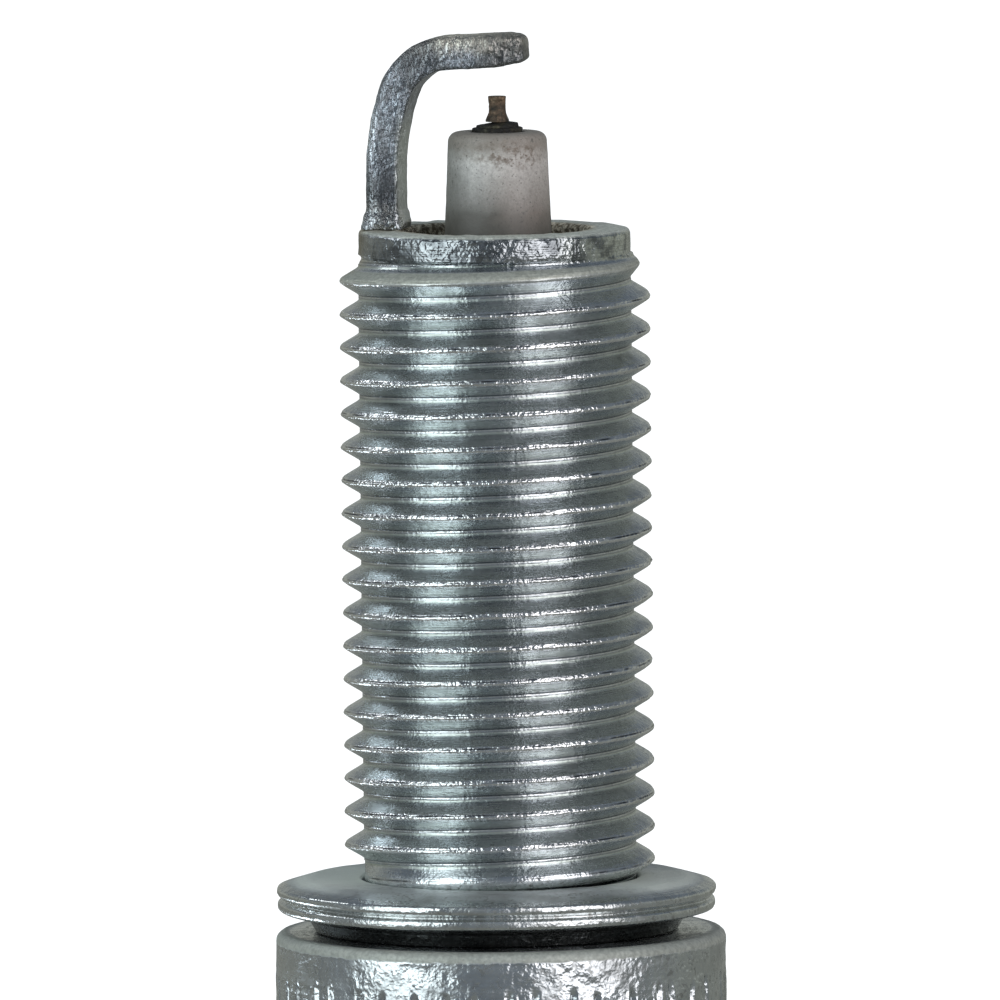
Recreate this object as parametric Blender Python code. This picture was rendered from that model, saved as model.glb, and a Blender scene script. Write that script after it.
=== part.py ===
"""Motorcycle spark plug with an M12 x 1.25 shank, a 26.5 mm reach and a fine-wire centre electrode.

The plug is an assembly of separate pieces, in metres. It stands with its firing end up: +Z runs along the
axis from the terminal to the electrodes. The origin is on the axis, in the plane of the shell's gasket face.
The ground electrode's leg stands at -X and its arm reaches towards +X, over the centre electrode.
"""

import math

import bmesh
import bpy
from mathutils import Matrix, Vector

MM = 0.001

# ---------------------------------------------------------------------------------------------------------
# Driving dimensions
# ---------------------------------------------------------------------------------------------------------

FIT = 0.05 * MM  # radial or axial room between two pieces that are pressed, cast or crimped together
TOUCH = 0.02 * MM  # room between two faces that are welded together

# Threaded shank
REACH = 26.5 * MM  # gasket face to the end of the thread side
THREAD_MAJOR_R = 5.85 * MM
THREAD_PITCH = 1.25 * MM
THREAD_CREST_FLAT = 0.12 * MM
THREAD_ROOT_FLAT = 0.26 * MM
THREAD_START_STEP = 19  # step round the shell at which the thread grows out of the neck
THREAD_RUN_OUT_TURNS = 0.45
THREAD_LEAD_TURNS = 0.95  # turns over which the crest fades at the firing end
RIM_LAND = 0.25 * MM
RIM_EDGE = 0.15 * MM

# Shell behind the thread
COLLAR_R = 8.5 * MM
COLLAR_LENGTH = 6.4 * MM
COLLAR_EDGE_R = 0.5 * MM
WAIST_R = 6.9 * MM
WAIST_LENGTH = 1.5 * MM
HEX_FLATS = 14.0 * MM
HEX_LENGTH = 8.0 * MM
CRIMP_LENGTH = 1.8 * MM
CRIMP_WALL = 0.85 * MM
CRIMP_ROOT_R = 6.65 * MM
CRIMP_CLEARANCE = 0.12 * MM

# Gasket, a folded ring that is loose on the neck
GASKET_OUTER_R = 8.3 * MM
GASKET_BORE_R = 5.6 * MM
GASKET_HEIGHT = 2.05 * MM
GASKET_SHEET = 0.42 * MM
GASKET_EDGE = 0.35 * MM
GASKET_CREASE_DEPTH = 0.18 * MM
GASKET_CREASE_RISE = 0.3 * MM  # above the middle of the fold
GASKET_LIFT = 0.02 * MM
GASKET_PLAY = 0.5 * MM  # above the gasket, below the first full crest of the thread

# Insulator, firing end first
NOSE_PROJECTION = 3.62 * MM  # above the rim of the shell
NOSE_WALL = 0.82 * MM
NOSE_EDGE_R = 0.36 * MM
NOSE_EXPOSED_FLARE = 0.16 * MM
NOSE_FLARE = 0.7 * MM
CHAMBER_GAP = 0.95 * MM  # between the nose's root and the shell
LEDGE_WIDTH = 0.4 * MM
LEDGE_DEPTH = 10.9 * MM  # below the rim
SEAL_WASHER_THICKNESS = 0.4 * MM
SEAL_WASHER_OVERHANG = 0.1 * MM
FLANGE_DEPTH = 3.0 * MM  # below the gasket face, where the insulator widens
FLANGE_LENGTH = 5.6 * MM
HEAD_R = 4.5 * MM
PACKING_WIDTH = 1.1 * MM
HEAD_LENGTH = 41.0 * MM  # gasket face to the terminal end of the insulator
HEAD_END_R = 3.3 * MM
HEAD_END_TAPER = 1.6 * MM
HEAD_END_EDGE = 0.3 * MM
RIB_COUNT = 5
RIB_PITCH = 2.3 * MM
RIB_DEPTH = 0.55 * MM

# What the insulator's bore holds
ELECTRODE_R = 0.98 * MM
ELECTRODE_PROUD = 0.22 * MM
ELECTRODE_STEP = 0.16 * MM
ELECTRODE_CONE = 0.18 * MM
CAPSULE_R = 1.62 * MM  # bore behind the electrode's head
COUNTERBORE_DEPTH = 2.8 * MM  # below the ledge
ELECTRODE_HEAD_LENGTH = 0.9 * MM
ELECTRODE_TAIL_R = 0.95 * MM
ELECTRODE_TAIL_LENGTH = 0.8 * MM
CORE_R = 0.55 * MM
CORE_STOP = 3.0 * MM  # nickel left above the copper
TIP_R = 0.35 * MM
TIP_HEIGHT = 0.91 * MM
TIP_FOOT_R = 0.46 * MM
TIP_FOOT_HEIGHT = 0.28 * MM
LOWER_SEAL_LENGTH = 2.8 * MM
RESISTOR_LENGTH = 10.0 * MM
UPPER_SEAL_LENGTH = 3.4 * MM
STUD_TIP_DEPTH = 2.0 * MM  # how far the stud stands in the upper seal
STUD_TIP_R = 1.25 * MM
STUD_KNURL_DEPTH = 0.12 * MM
STUD_KNURL_LENGTH = 6.0 * MM
STUD_SHANK_R = 1.45 * MM

# Terminal
STUD_FLANGE_R = 2.85 * MM
STUD_FLANGE_THICKNESS = 0.9 * MM
STUD_THREAD_MAJOR_R = 1.97 * MM
STUD_THREAD_PITCH = 0.7 * MM
STUD_THREAD_CREST_FLAT = 0.0875 * MM
STUD_THREAD_ROOT_FLAT = 0.175 * MM
STUD_THREAD_LENGTH = 7.4 * MM
STUD_END_CHAMFER = 0.3 * MM
NUT_LENGTH = 8.5 * MM
NUT_R = 3.15 * MM
NUT_GROOVE_R = 2.72 * MM
NUT_BASE_LENGTH = 1.7 * MM
NUT_GROOVE_LENGTH = 1.5 * MM
NUT_GROOVE_SLOPE = 0.4 * MM
NUT_CHAMFER = 0.55 * MM
NUT_BORE_CLEARANCE = 0.09 * MM

# Ground electrode, a flat bar bent over the tip
SPARK_GAP = 1.1 * MM
BAR_WIDTH = 2.2 * MM
BAR_THICKNESS = 1.25 * MM
BAR_EDGE_R = 0.27 * MM
BAR_INSET = 0.36 * MM  # rim's edge to the outer face of the leg
BAR_LEAN_R = 9.2 * MM
BAR_LEAN_DEG = 19.6
BAR_BEND_R = 2.18 * MM
BAR_ARM_DEG = 87.4  # heading of the arm, away from upright
ARM_OVERHANG = 1.3 * MM  # past the axis
ARM_END_WIDTH = 1.35 * MM
ARM_TRIM_LENGTH = 1.35 * MM
WELD_FLASH = 0.2 * MM
WELD_HEIGHT = 0.35 * MM
PAD_R = 0.45 * MM
PAD_THICKNESS = 0.3 * MM

# Facets
SHELL_STEPS = 36  # a multiple of six, so that the hexagon's corners fall on steps
TURNED_STEPS = 24
SMALL_STEPS = 18
STUD_STEPS = 16
RING_WIRE_STEPS = 8
CORNER_STEPS = 3
THREAD_FLANK_TAN = math.tan(math.radians(30.0))
MERGE = 1e-7

# ---------------------------------------------------------------------------------------------------------
# Sizes and heights that follow from them
# ---------------------------------------------------------------------------------------------------------


def thread_depth(pitch, crest_flat, root_flat):
    """Depth of a 60 degree thread with these flats."""
    return (pitch - crest_flat - root_flat) / 2 / THREAD_FLANK_TAN


THREAD_DEPTH = thread_depth(THREAD_PITCH, THREAD_CREST_FLAT, THREAD_ROOT_FLAT)
THREAD_ROOT_R = THREAD_MAJOR_R - THREAD_DEPTH
CREST_RISE = (THREAD_PITCH + THREAD_ROOT_FLAT - THREAD_CREST_FLAT) / 2  # from a root's edge to the crest's
THREAD_START_Z = GASKET_HEIGHT + GASKET_PLAY - THREAD_PITCH * THREAD_RUN_OUT_TURNS - CREST_RISE
NOSE_BORE_R = ELECTRODE_R + FIT
NOSE_TIP_R = NOSE_BORE_R + NOSE_WALL
NOSE_ROOT_R = NOSE_TIP_R + NOSE_FLARE
CHAMBER_R = NOSE_ROOT_R + CHAMBER_GAP
BODY_BORE_R = CHAMBER_R + LEDGE_WIDTH
BODY_R = BODY_BORE_R - FIT
FLANGE_BORE_R = HEAD_R + PACKING_WIDTH
FLANGE_R = FLANGE_BORE_R - FIT
PACKING_RING_R = HEAD_R + PACKING_WIDTH / 2
PACKING_WIRE_R = PACKING_WIDTH / 2 - FIT
CRIMP_TIP_R = HEAD_R + CRIMP_CLEARANCE

RIM_Z = REACH
NOSE_TIP_Z = RIM_Z + NOSE_PROJECTION
LEDGE_Z = RIM_Z - LEDGE_DEPTH
COUNTERBORE_Z = LEDGE_Z - COUNTERBORE_DEPTH
CAPSULE_CONE_Z = COUNTERBORE_Z - (CAPSULE_R - NOSE_BORE_R)
COLLAR_END_Z = -COLLAR_LENGTH
HEX_START_Z = COLLAR_END_Z - WAIST_LENGTH
HEX_END_Z = HEX_START_Z - HEX_LENGTH
FLANGE_CONE_Z = -FLANGE_DEPTH - (FLANGE_BORE_R - BODY_BORE_R)
FLANGE_END_Z = FLANGE_CONE_Z - FLANGE_LENGTH
HEAD_END_Z = -HEAD_LENGTH

ELECTRODE_SHOULDER_Z = NOSE_TIP_Z + ELECTRODE_PROUD
ELECTRODE_END_Z = ELECTRODE_SHOULDER_Z + ELECTRODE_CONE
ELECTRODE_HEAD_Z = CAPSULE_CONE_Z - ELECTRODE_HEAD_LENGTH
ELECTRODE_TAIL_Z = ELECTRODE_HEAD_Z - ELECTRODE_TAIL_LENGTH
CORE_TOP_Z = NOSE_TIP_Z - CORE_STOP
TIP_FOOT_Z = ELECTRODE_END_Z + TOUCH
TIP_TOP_Z = TIP_FOOT_Z + TIP_HEIGHT

LOWER_SEAL_Z = ELECTRODE_HEAD_Z - FIT
RESISTOR_Z = LOWER_SEAL_Z - LOWER_SEAL_LENGTH - FIT
UPPER_SEAL_Z = RESISTOR_Z - RESISTOR_LENGTH - FIT
UPPER_SEAL_END_Z = UPPER_SEAL_Z - UPPER_SEAL_LENGTH
STUD_TIP_Z = UPPER_SEAL_END_Z + STUD_TIP_DEPTH
STUD_FLANGE_Z = HEAD_END_Z - FIT
STUD_THREAD_Z = STUD_FLANGE_Z - STUD_FLANGE_THICKNESS
STUD_END_Z = STUD_THREAD_Z - STUD_THREAD_LENGTH
NUT_SEAT_Z = STUD_THREAD_Z - FIT
NUT_END_Z = NUT_SEAT_Z - NUT_LENGTH
NUT_BORE_R = STUD_THREAD_MAJOR_R + NUT_BORE_CLEARANCE

LOWER_RING_Z = FLANGE_END_Z - FIT - PACKING_WIRE_R
UPPER_RING_Z = HEX_END_Z + 2 * FIT
TALC_TOP_Z = LOWER_RING_Z - PACKING_WIRE_R - FIT
TALC_END_Z = UPPER_RING_Z + PACKING_WIRE_R + FIT

LEG_X = -(THREAD_ROOT_R - BAR_INSET - BAR_THICKNESS / 2)
LEG_FOOT_Z = RIM_Z + TOUCH


def ledge_height(radius):
    """Height of the shell's 45 degree inner ledge at this radius."""
    return LEDGE_Z - (radius - CHAMBER_R)


def seat_height(radius):
    """Height of the insulator's seat cone at this radius: the ledge's cone, less the seal washer."""
    return ledge_height(radius) - SEAL_WASHER_THICKNESS - 2 * FIT


# ---------------------------------------------------------------------------------------------------------
# Finishes
# ---------------------------------------------------------------------------------------------------------


def make_finish(name, colour, roughness, metallic):
    """A Principled BSDF material with one colour."""
    finish = bpy.data.materials.new(name)
    finish.use_nodes = True
    shader = finish.node_tree.nodes["Principled BSDF"]
    shader.inputs["Base Color"].default_value = (*colour, 1.0)
    shader.inputs["Roughness"].default_value = roughness
    shader.inputs["Metallic"].default_value = metallic
    return finish


# ---------------------------------------------------------------------------------------------------------
# Modelling tools
# ---------------------------------------------------------------------------------------------------------


def arc(centre, radius_x, radius_z, start_deg, end_deg, steps):
    """Points (r, z) on an ellipse's arc about centre, from one angle to the other."""
    angles = [math.radians(start_deg + (end_deg - start_deg) * k / steps) for k in range(steps + 1)]
    return [(centre[0] + radius_x * math.cos(a), centre[1] + radius_z * math.sin(a)) for a in angles]


def add_piece(name, mesh, finish, assembly, origin_z):
    """Turns a bmesh that was built in the assembly's own coordinates into a named object with its origin
    on the plug's axis, at origin_z."""
    bmesh.ops.remove_doubles(mesh, verts=mesh.verts, dist=MERGE)
    bmesh.ops.recalc_face_normals(mesh, faces=mesh.faces)
    bmesh.ops.translate(mesh, verts=mesh.verts, vec=Vector((0, 0, -origin_z)))
    data = bpy.data.meshes.new(name)
    mesh.to_mesh(data)
    mesh.free()
    data.materials.append(finish)
    data.shade_smooth()
    data.set_sharp_from_angle(angle=math.radians(35.0))
    piece = bpy.data.objects.new(name, data)
    bpy.context.scene.collection.objects.link(piece)
    piece.parent = assembly
    piece.location = (0, 0, origin_z)
    return piece


def turned(outline, steps, closed=True):
    """A bmesh of the outline's points (r, z) spun round the axis. An open outline starts and ends on it."""
    mesh = bmesh.new()
    points = [mesh.verts.new((r, 0, z)) for r, z in outline]
    pairs = list(zip(points, points[1:]))
    if closed:
        pairs.append((points[-1], points[0]))
    edges = [mesh.edges.new(pair) for pair in pairs]
    bmesh.ops.spin(
        mesh,
        geom=points + edges,
        cent=(0, 0, 0),
        axis=(0, 0, 1),
        angle=2 * math.pi,
        steps=steps,
        use_merge=True,
    )
    return mesh


def add_ring(mesh, radius, z, steps):
    """A ring of vertices. radius is a number, or a function of the angle."""
    ring = []
    for k in range(steps):
        angle = 2 * math.pi * k / steps
        r = radius(angle) if callable(radius) else radius
        ring.append(mesh.verts.new((r * math.cos(angle), r * math.sin(angle), z)))
    return ring


def bridge(mesh, first, second):
    """Quads between two rings or loops of the same length."""
    count = len(first)
    for k in range(count):
        after = (k + 1) % count
        mesh.faces.new((first[k], first[after], second[after], second[k]))


def bridge_all(mesh, rings, closed=False):
    """Bridges each ring to the next, and the last to the first if closed."""
    for first, second in zip(rings, rings[1:]):
        bridge(mesh, first, second)
    if closed:
        bridge(mesh, rings[-1], rings[0])


def cap_with_pole(mesh, ring, z):
    """Closes a ring with triangles to a vertex on the axis."""
    pole = mesh.verts.new((0, 0, z))
    for k, corner in enumerate(ring):
        mesh.faces.new((corner, ring[(k + 1) % len(ring)], pole))


def add_thread(mesh, steps, root_r, depth, pitch, flats, bottom_z, height, start_step, fades):
    """A right-hand thread between two plain rings of radius root_r. Returns the lower and the upper ring.

    flats are the widths of the root's and the crest's flats. fades are the turns over which the crest grows
    at the bottom and fades at the top. Each station holds the four corners of one pitch, and its upper edge
    is the lower edge of the station one turn later.
    """
    root_flat, crest_flat = flats
    flank = (pitch - root_flat - crest_flat) / 2
    corner_heights = (root_flat, root_flat + flank, root_flat + flank + crest_flat)
    corner_depths = (0.0, depth, depth)
    stations = int(steps * (height / pitch - 1))

    def vertex(station, rise, out):
        angle = 2 * math.pi * (start_step + station) / steps
        z = bottom_z + pitch * station / steps + rise
        r = root_r + out
        return mesh.verts.new((r * math.cos(angle), r * math.sin(angle), z))

    edge = [vertex(i, 0.0, 0.0) for i in range(stations + steps + 1)]
    corners = []
    for i in range(stations + 1):
        grown = min(1.0, i / (fades[0] * steps), (stations - i) / (fades[1] * steps))
        corners.append([vertex(i, rise, out * grown) for rise, out in zip(corner_heights, corner_depths)])
    for i in range(stations):
        here = [edge[i], *corners[i], edge[i + steps]]
        there = [edge[i + 1], *corners[i + 1], edge[i + 1 + steps]]
        for j in range(len(here) - 1):
            mesh.faces.new((here[j], there[j], there[j + 1], here[j + 1]))

    top_z = bottom_z + pitch * (stations / steps + 1)
    lower = add_ring(mesh, root_r, bottom_z, steps)
    upper = add_ring(mesh, root_r, top_z, steps)
    first, last = start_step % steps, (start_step + stations) % steps
    close_thread_end(mesh, lower, first, edge[: steps + 1], corners[0], 1)
    close_thread_end(mesh, upper, last, edge[: stations - 1 : -1], corners[-1][::-1], -1)
    return lower, upper


def close_thread_end(mesh, ring, index, helix, corners, way):
    """Fills the wedge between a plain ring and the thread's first or last turn. helix starts on the ring, at
    ring[index], and climbs away from it round one turn, to above that same vertex."""
    steps = len(ring)

    def on_ring(k):
        return ring[(index + way * k) % steps]

    mesh.faces.new((on_ring(0), on_ring(1), helix[1]))
    for k in range(1, steps - 1):
        mesh.faces.new((on_ring(k), on_ring(k + 1), helix[k + 1], helix[k]))
    mesh.faces.new((on_ring(steps - 1), on_ring(0), helix[steps - 1]))
    upright = [on_ring(0), *corners, helix[steps]]
    for low, high in zip(upright, upright[1:]):
        mesh.faces.new((helix[steps - 1], low, high))


# ---------------------------------------------------------------------------------------------------------
# Shell
# ---------------------------------------------------------------------------------------------------------


def hexagon_radius(angle, limit=math.inf):
    """Distance from the axis to the hexagon's side, cut off at limit. Its flats face +Y and -Y."""
    from_flat = angle % math.radians(60.0) - math.radians(30.0)
    return min(HEX_FLATS / 2 / math.cos(from_flat), limit)


def hexagon_rings(mesh):
    """Rings down the hexagon, with its corners chamfered at 30 degrees at both ends."""
    inner = HEX_FLATS / 2
    corner = inner / math.cos(math.radians(30.0))
    chamfer = (corner - inner) * THREAD_FLANK_TAN
    half_limit = (corner + inner) / 2
    levels = [
        (HEX_START_Z, inner),
        (HEX_START_Z - chamfer / 2, half_limit),
        (HEX_START_Z - chamfer, corner),
        (HEX_END_Z + chamfer, corner),
        (HEX_END_Z + chamfer / 2, half_limit),
        (HEX_END_Z, inner),
    ]
    return [
        add_ring(mesh, lambda angle, limit=limit: hexagon_radius(angle, limit), z, SHELL_STEPS)
        for z, limit in levels
    ]


def crimp_outline():
    """Points (r, z) down the outside of the crimped lip, round its edge and up its inside."""
    outside = arc(
        (CRIMP_TIP_R, HEX_END_Z), CRIMP_ROOT_R - CRIMP_TIP_R, -CRIMP_LENGTH, 0, 84, CORNER_STEPS + 1
    )
    inside = arc(
        (CRIMP_TIP_R, HEX_END_Z), FLANGE_BORE_R - CRIMP_TIP_R, CRIMP_WALL - CRIMP_LENGTH, 88, 0, CORNER_STEPS
    )
    return outside + inside


def make_shell(finish, assembly):
    """Steel shell: threaded shank, collar, waist, hexagon and crimped lip, with a stepped bore."""
    mesh = bmesh.new()
    lower, upper = add_thread(
        mesh,
        SHELL_STEPS,
        THREAD_ROOT_R,
        THREAD_DEPTH,
        THREAD_PITCH,
        (THREAD_ROOT_FLAT, THREAD_CREST_FLAT),
        THREAD_START_Z,
        REACH - RIM_LAND - THREAD_START_Z,
        THREAD_START_STEP,
        (THREAD_RUN_OUT_TURNS, THREAD_LEAD_TURNS),
    )
    above = [
        (THREAD_ROOT_R, RIM_Z - RIM_EDGE),
        (THREAD_ROOT_R - RIM_EDGE, RIM_Z),
        (CHAMBER_R + RIM_EDGE, RIM_Z),
        (CHAMBER_R, RIM_Z - RIM_EDGE),
        (CHAMBER_R, LEDGE_Z),
        (BODY_BORE_R, ledge_height(BODY_BORE_R)),
        (BODY_BORE_R, -FLANGE_DEPTH),
        (FLANGE_BORE_R, FLANGE_CONE_Z),
    ]
    below = [
        (THREAD_ROOT_R, 0.0),
        *arc((COLLAR_R - COLLAR_EDGE_R, -COLLAR_EDGE_R), COLLAR_EDGE_R, COLLAR_EDGE_R, 90, 0, CORNER_STEPS),
        (COLLAR_R, COLLAR_END_Z + COLLAR_EDGE_R),
        (COLLAR_R - COLLAR_EDGE_R, COLLAR_END_Z),
        (WAIST_R, COLLAR_END_Z - WAIST_LENGTH / 4),
        (WAIST_R, HEX_START_Z + WAIST_LENGTH / 4),
    ]
    rings = [add_ring(mesh, r, z, SHELL_STEPS) for r, z in reversed(above)]
    bridge_all(mesh, [*rings, upper])
    rear = [lower, *(add_ring(mesh, r, z, SHELL_STEPS) for r, z in below), *hexagon_rings(mesh)]
    rear += [add_ring(mesh, r, z, SHELL_STEPS) for r, z in crimp_outline()]
    bridge_all(mesh, [*rear, rings[0]])
    return add_piece("shell", mesh, finish, assembly, 0.0)


# ---------------------------------------------------------------------------------------------------------
# Gasket
# ---------------------------------------------------------------------------------------------------------


def gasket_outline():
    """Section of the folded ring: a top plate that rolls over into a creased edge, and a plate tucked under.
    The fold is open towards the shank."""
    top, bottom = GASKET_HEIGHT, GASKET_LIFT
    crease_z = (top + bottom) / 2 + GASKET_CREASE_RISE
    upper_r = top - crease_z
    lower_r = crease_z - bottom
    shoulder_r = GASKET_OUTER_R - upper_r
    tuck_r = GASKET_OUTER_R - lower_r - GASKET_CREASE_DEPTH
    hollow_top, hollow_bottom = top - GASKET_SHEET, bottom + GASKET_SHEET
    outside = [
        (GASKET_BORE_R, top - GASKET_EDGE),
        (GASKET_BORE_R + GASKET_EDGE, top),
        *arc((shoulder_r, crease_z), upper_r, upper_r, 90, 12, CORNER_STEPS + 1),
        (GASKET_OUTER_R - GASKET_CREASE_DEPTH, crease_z),
        *arc((tuck_r, crease_z), GASKET_OUTER_R - tuck_r, lower_r, -10, -90, CORNER_STEPS + 1),
        (GASKET_BORE_R + GASKET_EDGE, bottom),
    ]
    inside = [
        (GASKET_BORE_R + GASKET_EDGE, hollow_bottom),
        (tuck_r, hollow_bottom),
        (GASKET_OUTER_R - GASKET_SHEET - GASKET_CREASE_DEPTH, (hollow_top + hollow_bottom) / 2),
        (shoulder_r, hollow_top),
        (GASKET_BORE_R, hollow_top),
    ]
    return outside + inside


def make_gasket(finish, assembly):
    return add_piece("gasket", turned(gasket_outline(), SHELL_STEPS), finish, assembly, 0.0)


# ---------------------------------------------------------------------------------------------------------
# Insulator and what holds it in the shell
# ---------------------------------------------------------------------------------------------------------


def rib_outline():
    """Waves (r, z) down the terminal end of the insulator: flat crests with a groove between each pair."""
    first_z = HEAD_END_Z + HEAD_END_TAPER + RIB_COUNT * RIB_PITCH
    quarter = RIB_PITCH / 4
    points = []
    for k in range(RIB_COUNT):
        z = first_z - k * RIB_PITCH
        points += [(HEAD_R, z), (HEAD_R - RIB_DEPTH, z - quarter), (HEAD_R - RIB_DEPTH, z - 2 * quarter)]
        points += [(HEAD_R, z - 3 * quarter)]
    return points


def insulator_outline():
    """Section of the insulator, from the nose's bore outwards, down the outside and back up the bore."""
    nose_edge = (NOSE_TIP_R - NOSE_EDGE_R, NOSE_TIP_Z - NOSE_EDGE_R)
    outside = [
        (NOSE_BORE_R, NOSE_TIP_Z),
        *arc(nose_edge, NOSE_EDGE_R, NOSE_EDGE_R, 90, 0, CORNER_STEPS),
        (NOSE_TIP_R + NOSE_EXPOSED_FLARE, RIM_Z),
        (NOSE_ROOT_R, seat_height(NOSE_ROOT_R)),
        (BODY_R, seat_height(BODY_R)),
        (BODY_R, -FLANGE_DEPTH - FIT),
        (FLANGE_R, FLANGE_CONE_Z - FIT),
        (FLANGE_R, FLANGE_END_Z),
        (HEAD_R, FLANGE_END_Z),
        *rib_outline(),
        (HEAD_R, HEAD_END_Z + HEAD_END_TAPER),
        (HEAD_END_R, HEAD_END_Z + HEAD_END_EDGE),
        (HEAD_END_R - HEAD_END_EDGE, HEAD_END_Z),
    ]
    bore = [
        (CAPSULE_R, HEAD_END_Z),
        (CAPSULE_R, CAPSULE_CONE_Z),
        (NOSE_BORE_R, COUNTERBORE_Z),
    ]
    return outside + bore


def seal_washer_outline():
    """Section of the washer between the shell's ledge and the insulator's seat."""
    inner = CHAMBER_R - SEAL_WASHER_OVERHANG
    outer = BODY_BORE_R - FIT
    return [
        (inner, seat_height(inner) + FIT),
        (outer, seat_height(outer) + FIT),
        (outer, ledge_height(outer) - FIT),
        (inner, ledge_height(inner) - FIT),
    ]


def make_packing_ring(name, z, finish, assembly):
    """A round wire ring that the crimp presses against the insulator."""
    wire = arc((PACKING_RING_R, z), PACKING_WIRE_R, PACKING_WIRE_R, 0, 360, RING_WIRE_STEPS)[:-1]
    return add_piece(name, turned(wire, TURNED_STEPS), finish, assembly, z)


def talc_outline():
    return [
        (HEAD_R + FIT, TALC_TOP_Z),
        (HEAD_R + FIT, TALC_END_Z),
        (FLANGE_R, TALC_END_Z),
        (FLANGE_R, TALC_TOP_Z),
    ]


# ---------------------------------------------------------------------------------------------------------
# Centre electrode, seals and terminal
# ---------------------------------------------------------------------------------------------------------


def centre_electrode_outline():
    """Section of the nickel sheath: a headed rod with a blind hole for the copper, open at its tail."""
    hole_r = CORE_R + FIT
    head_r = CAPSULE_R - FIT
    return [
        (0.0, CORE_TOP_Z + FIT),
        (hole_r, CORE_TOP_Z + FIT),
        (hole_r, ELECTRODE_TAIL_Z),
        (ELECTRODE_TAIL_R, ELECTRODE_TAIL_Z),
        (ELECTRODE_TAIL_R, ELECTRODE_HEAD_Z),
        (head_r, ELECTRODE_HEAD_Z),
        (head_r, CAPSULE_CONE_Z - FIT),
        (ELECTRODE_R, COUNTERBORE_Z - 2 * FIT),
        (ELECTRODE_R, ELECTRODE_SHOULDER_Z - ELECTRODE_STEP / 2),
        (ELECTRODE_R - ELECTRODE_STEP, ELECTRODE_SHOULDER_Z - ELECTRODE_STEP / 2),
        (ELECTRODE_R - ELECTRODE_STEP, ELECTRODE_SHOULDER_Z),
        (TIP_FOOT_R, ELECTRODE_END_Z),
        (0.0, ELECTRODE_END_Z),
    ]


def core_outline():
    return [
        (0.0, ELECTRODE_TAIL_Z),
        (CORE_R, ELECTRODE_TAIL_Z),
        (CORE_R, CORE_TOP_Z - CORE_R / 2),
        (CORE_R / 2, CORE_TOP_Z),
        (0.0, CORE_TOP_Z),
    ]


def tip_outline():
    """Section of the fine wire, with the fillet of its weld at the foot."""
    edge = TIP_R / 10
    return [
        (0.0, TIP_FOOT_Z),
        (TIP_FOOT_R, TIP_FOOT_Z),
        (TIP_R + (TIP_FOOT_R - TIP_R) / 3, TIP_FOOT_Z + TIP_FOOT_HEIGHT / 2),
        (TIP_R, TIP_FOOT_Z + TIP_FOOT_HEIGHT),
        (TIP_R, TIP_TOP_Z - edge),
        (TIP_R - edge, TIP_TOP_Z),
        (0.0, TIP_TOP_Z),
    ]


def lower_seal_outline():
    """Section of the glass round the electrode's tail."""
    return [
        (0.0, ELECTRODE_TAIL_Z - FIT),
        (ELECTRODE_TAIL_R + FIT, ELECTRODE_TAIL_Z - FIT),
        (ELECTRODE_TAIL_R + FIT, LOWER_SEAL_Z),
        (CAPSULE_R - FIT, LOWER_SEAL_Z),
        (CAPSULE_R - FIT, LOWER_SEAL_Z - LOWER_SEAL_LENGTH),
        (0.0, LOWER_SEAL_Z - LOWER_SEAL_LENGTH),
    ]


def resistor_outline():
    return [
        (0.0, RESISTOR_Z - RESISTOR_LENGTH),
        (CAPSULE_R - FIT, RESISTOR_Z - RESISTOR_LENGTH),
        (CAPSULE_R - FIT, RESISTOR_Z),
        (0.0, RESISTOR_Z),
    ]


def upper_seal_outline():
    """Section of the glass round the stud's knurled tip."""
    return [
        (0.0, UPPER_SEAL_Z),
        (CAPSULE_R - FIT, UPPER_SEAL_Z),
        (CAPSULE_R - FIT, UPPER_SEAL_END_Z),
        (STUD_TIP_R + FIT, UPPER_SEAL_END_Z),
        (STUD_TIP_R + FIT, STUD_TIP_Z + FIT),
        (0.0, STUD_TIP_Z + FIT),
    ]


def make_stud(finish, assembly):
    """Terminal stud: a knurled tip in the glass, a shank up the bore, a flange and a male M4 thread."""
    mesh = bmesh.new()
    depth = thread_depth(STUD_THREAD_PITCH, STUD_THREAD_CREST_FLAT, STUD_THREAD_ROOT_FLAT)
    root_r = STUD_THREAD_MAJOR_R - depth
    lower, upper = add_thread(
        mesh,
        STUD_STEPS,
        root_r,
        depth,
        STUD_THREAD_PITCH,
        (STUD_THREAD_ROOT_FLAT, STUD_THREAD_CREST_FLAT),
        STUD_END_Z + STUD_END_CHAMFER,
        STUD_THREAD_LENGTH - STUD_END_CHAMFER,
        0,
        (0.5, 0.5),
    )
    end = add_ring(mesh, root_r - STUD_END_CHAMFER, STUD_END_Z, STUD_STEPS)
    bridge(mesh, end, lower)
    cap_with_pole(mesh, end, STUD_END_Z)

    def knurl(angle):
        tooth = round(angle / (2 * math.pi) * STUD_STEPS) % 2
        return STUD_TIP_R - STUD_KNURL_DEPTH * tooth

    knurl_end_z = STUD_TIP_Z - STUD_KNURL_LENGTH
    levels = [
        (root_r, STUD_THREAD_Z),
        (STUD_FLANGE_R, STUD_THREAD_Z),
        (STUD_FLANGE_R, STUD_FLANGE_Z),
        (STUD_SHANK_R, STUD_FLANGE_Z),
        (STUD_SHANK_R, knurl_end_z - STUD_KNURL_DEPTH),
        (knurl, knurl_end_z),
        (knurl, STUD_TIP_Z - STUD_KNURL_DEPTH),
        (STUD_TIP_R - 2 * STUD_KNURL_DEPTH, STUD_TIP_Z),
    ]
    rings = [add_ring(mesh, r, z, STUD_STEPS) for r, z in levels]
    bridge_all(mesh, [upper, *rings])
    cap_with_pole(mesh, rings[-1], STUD_TIP_Z)
    return add_piece("terminal_stud", mesh, finish, assembly, STUD_FLANGE_Z)


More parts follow.
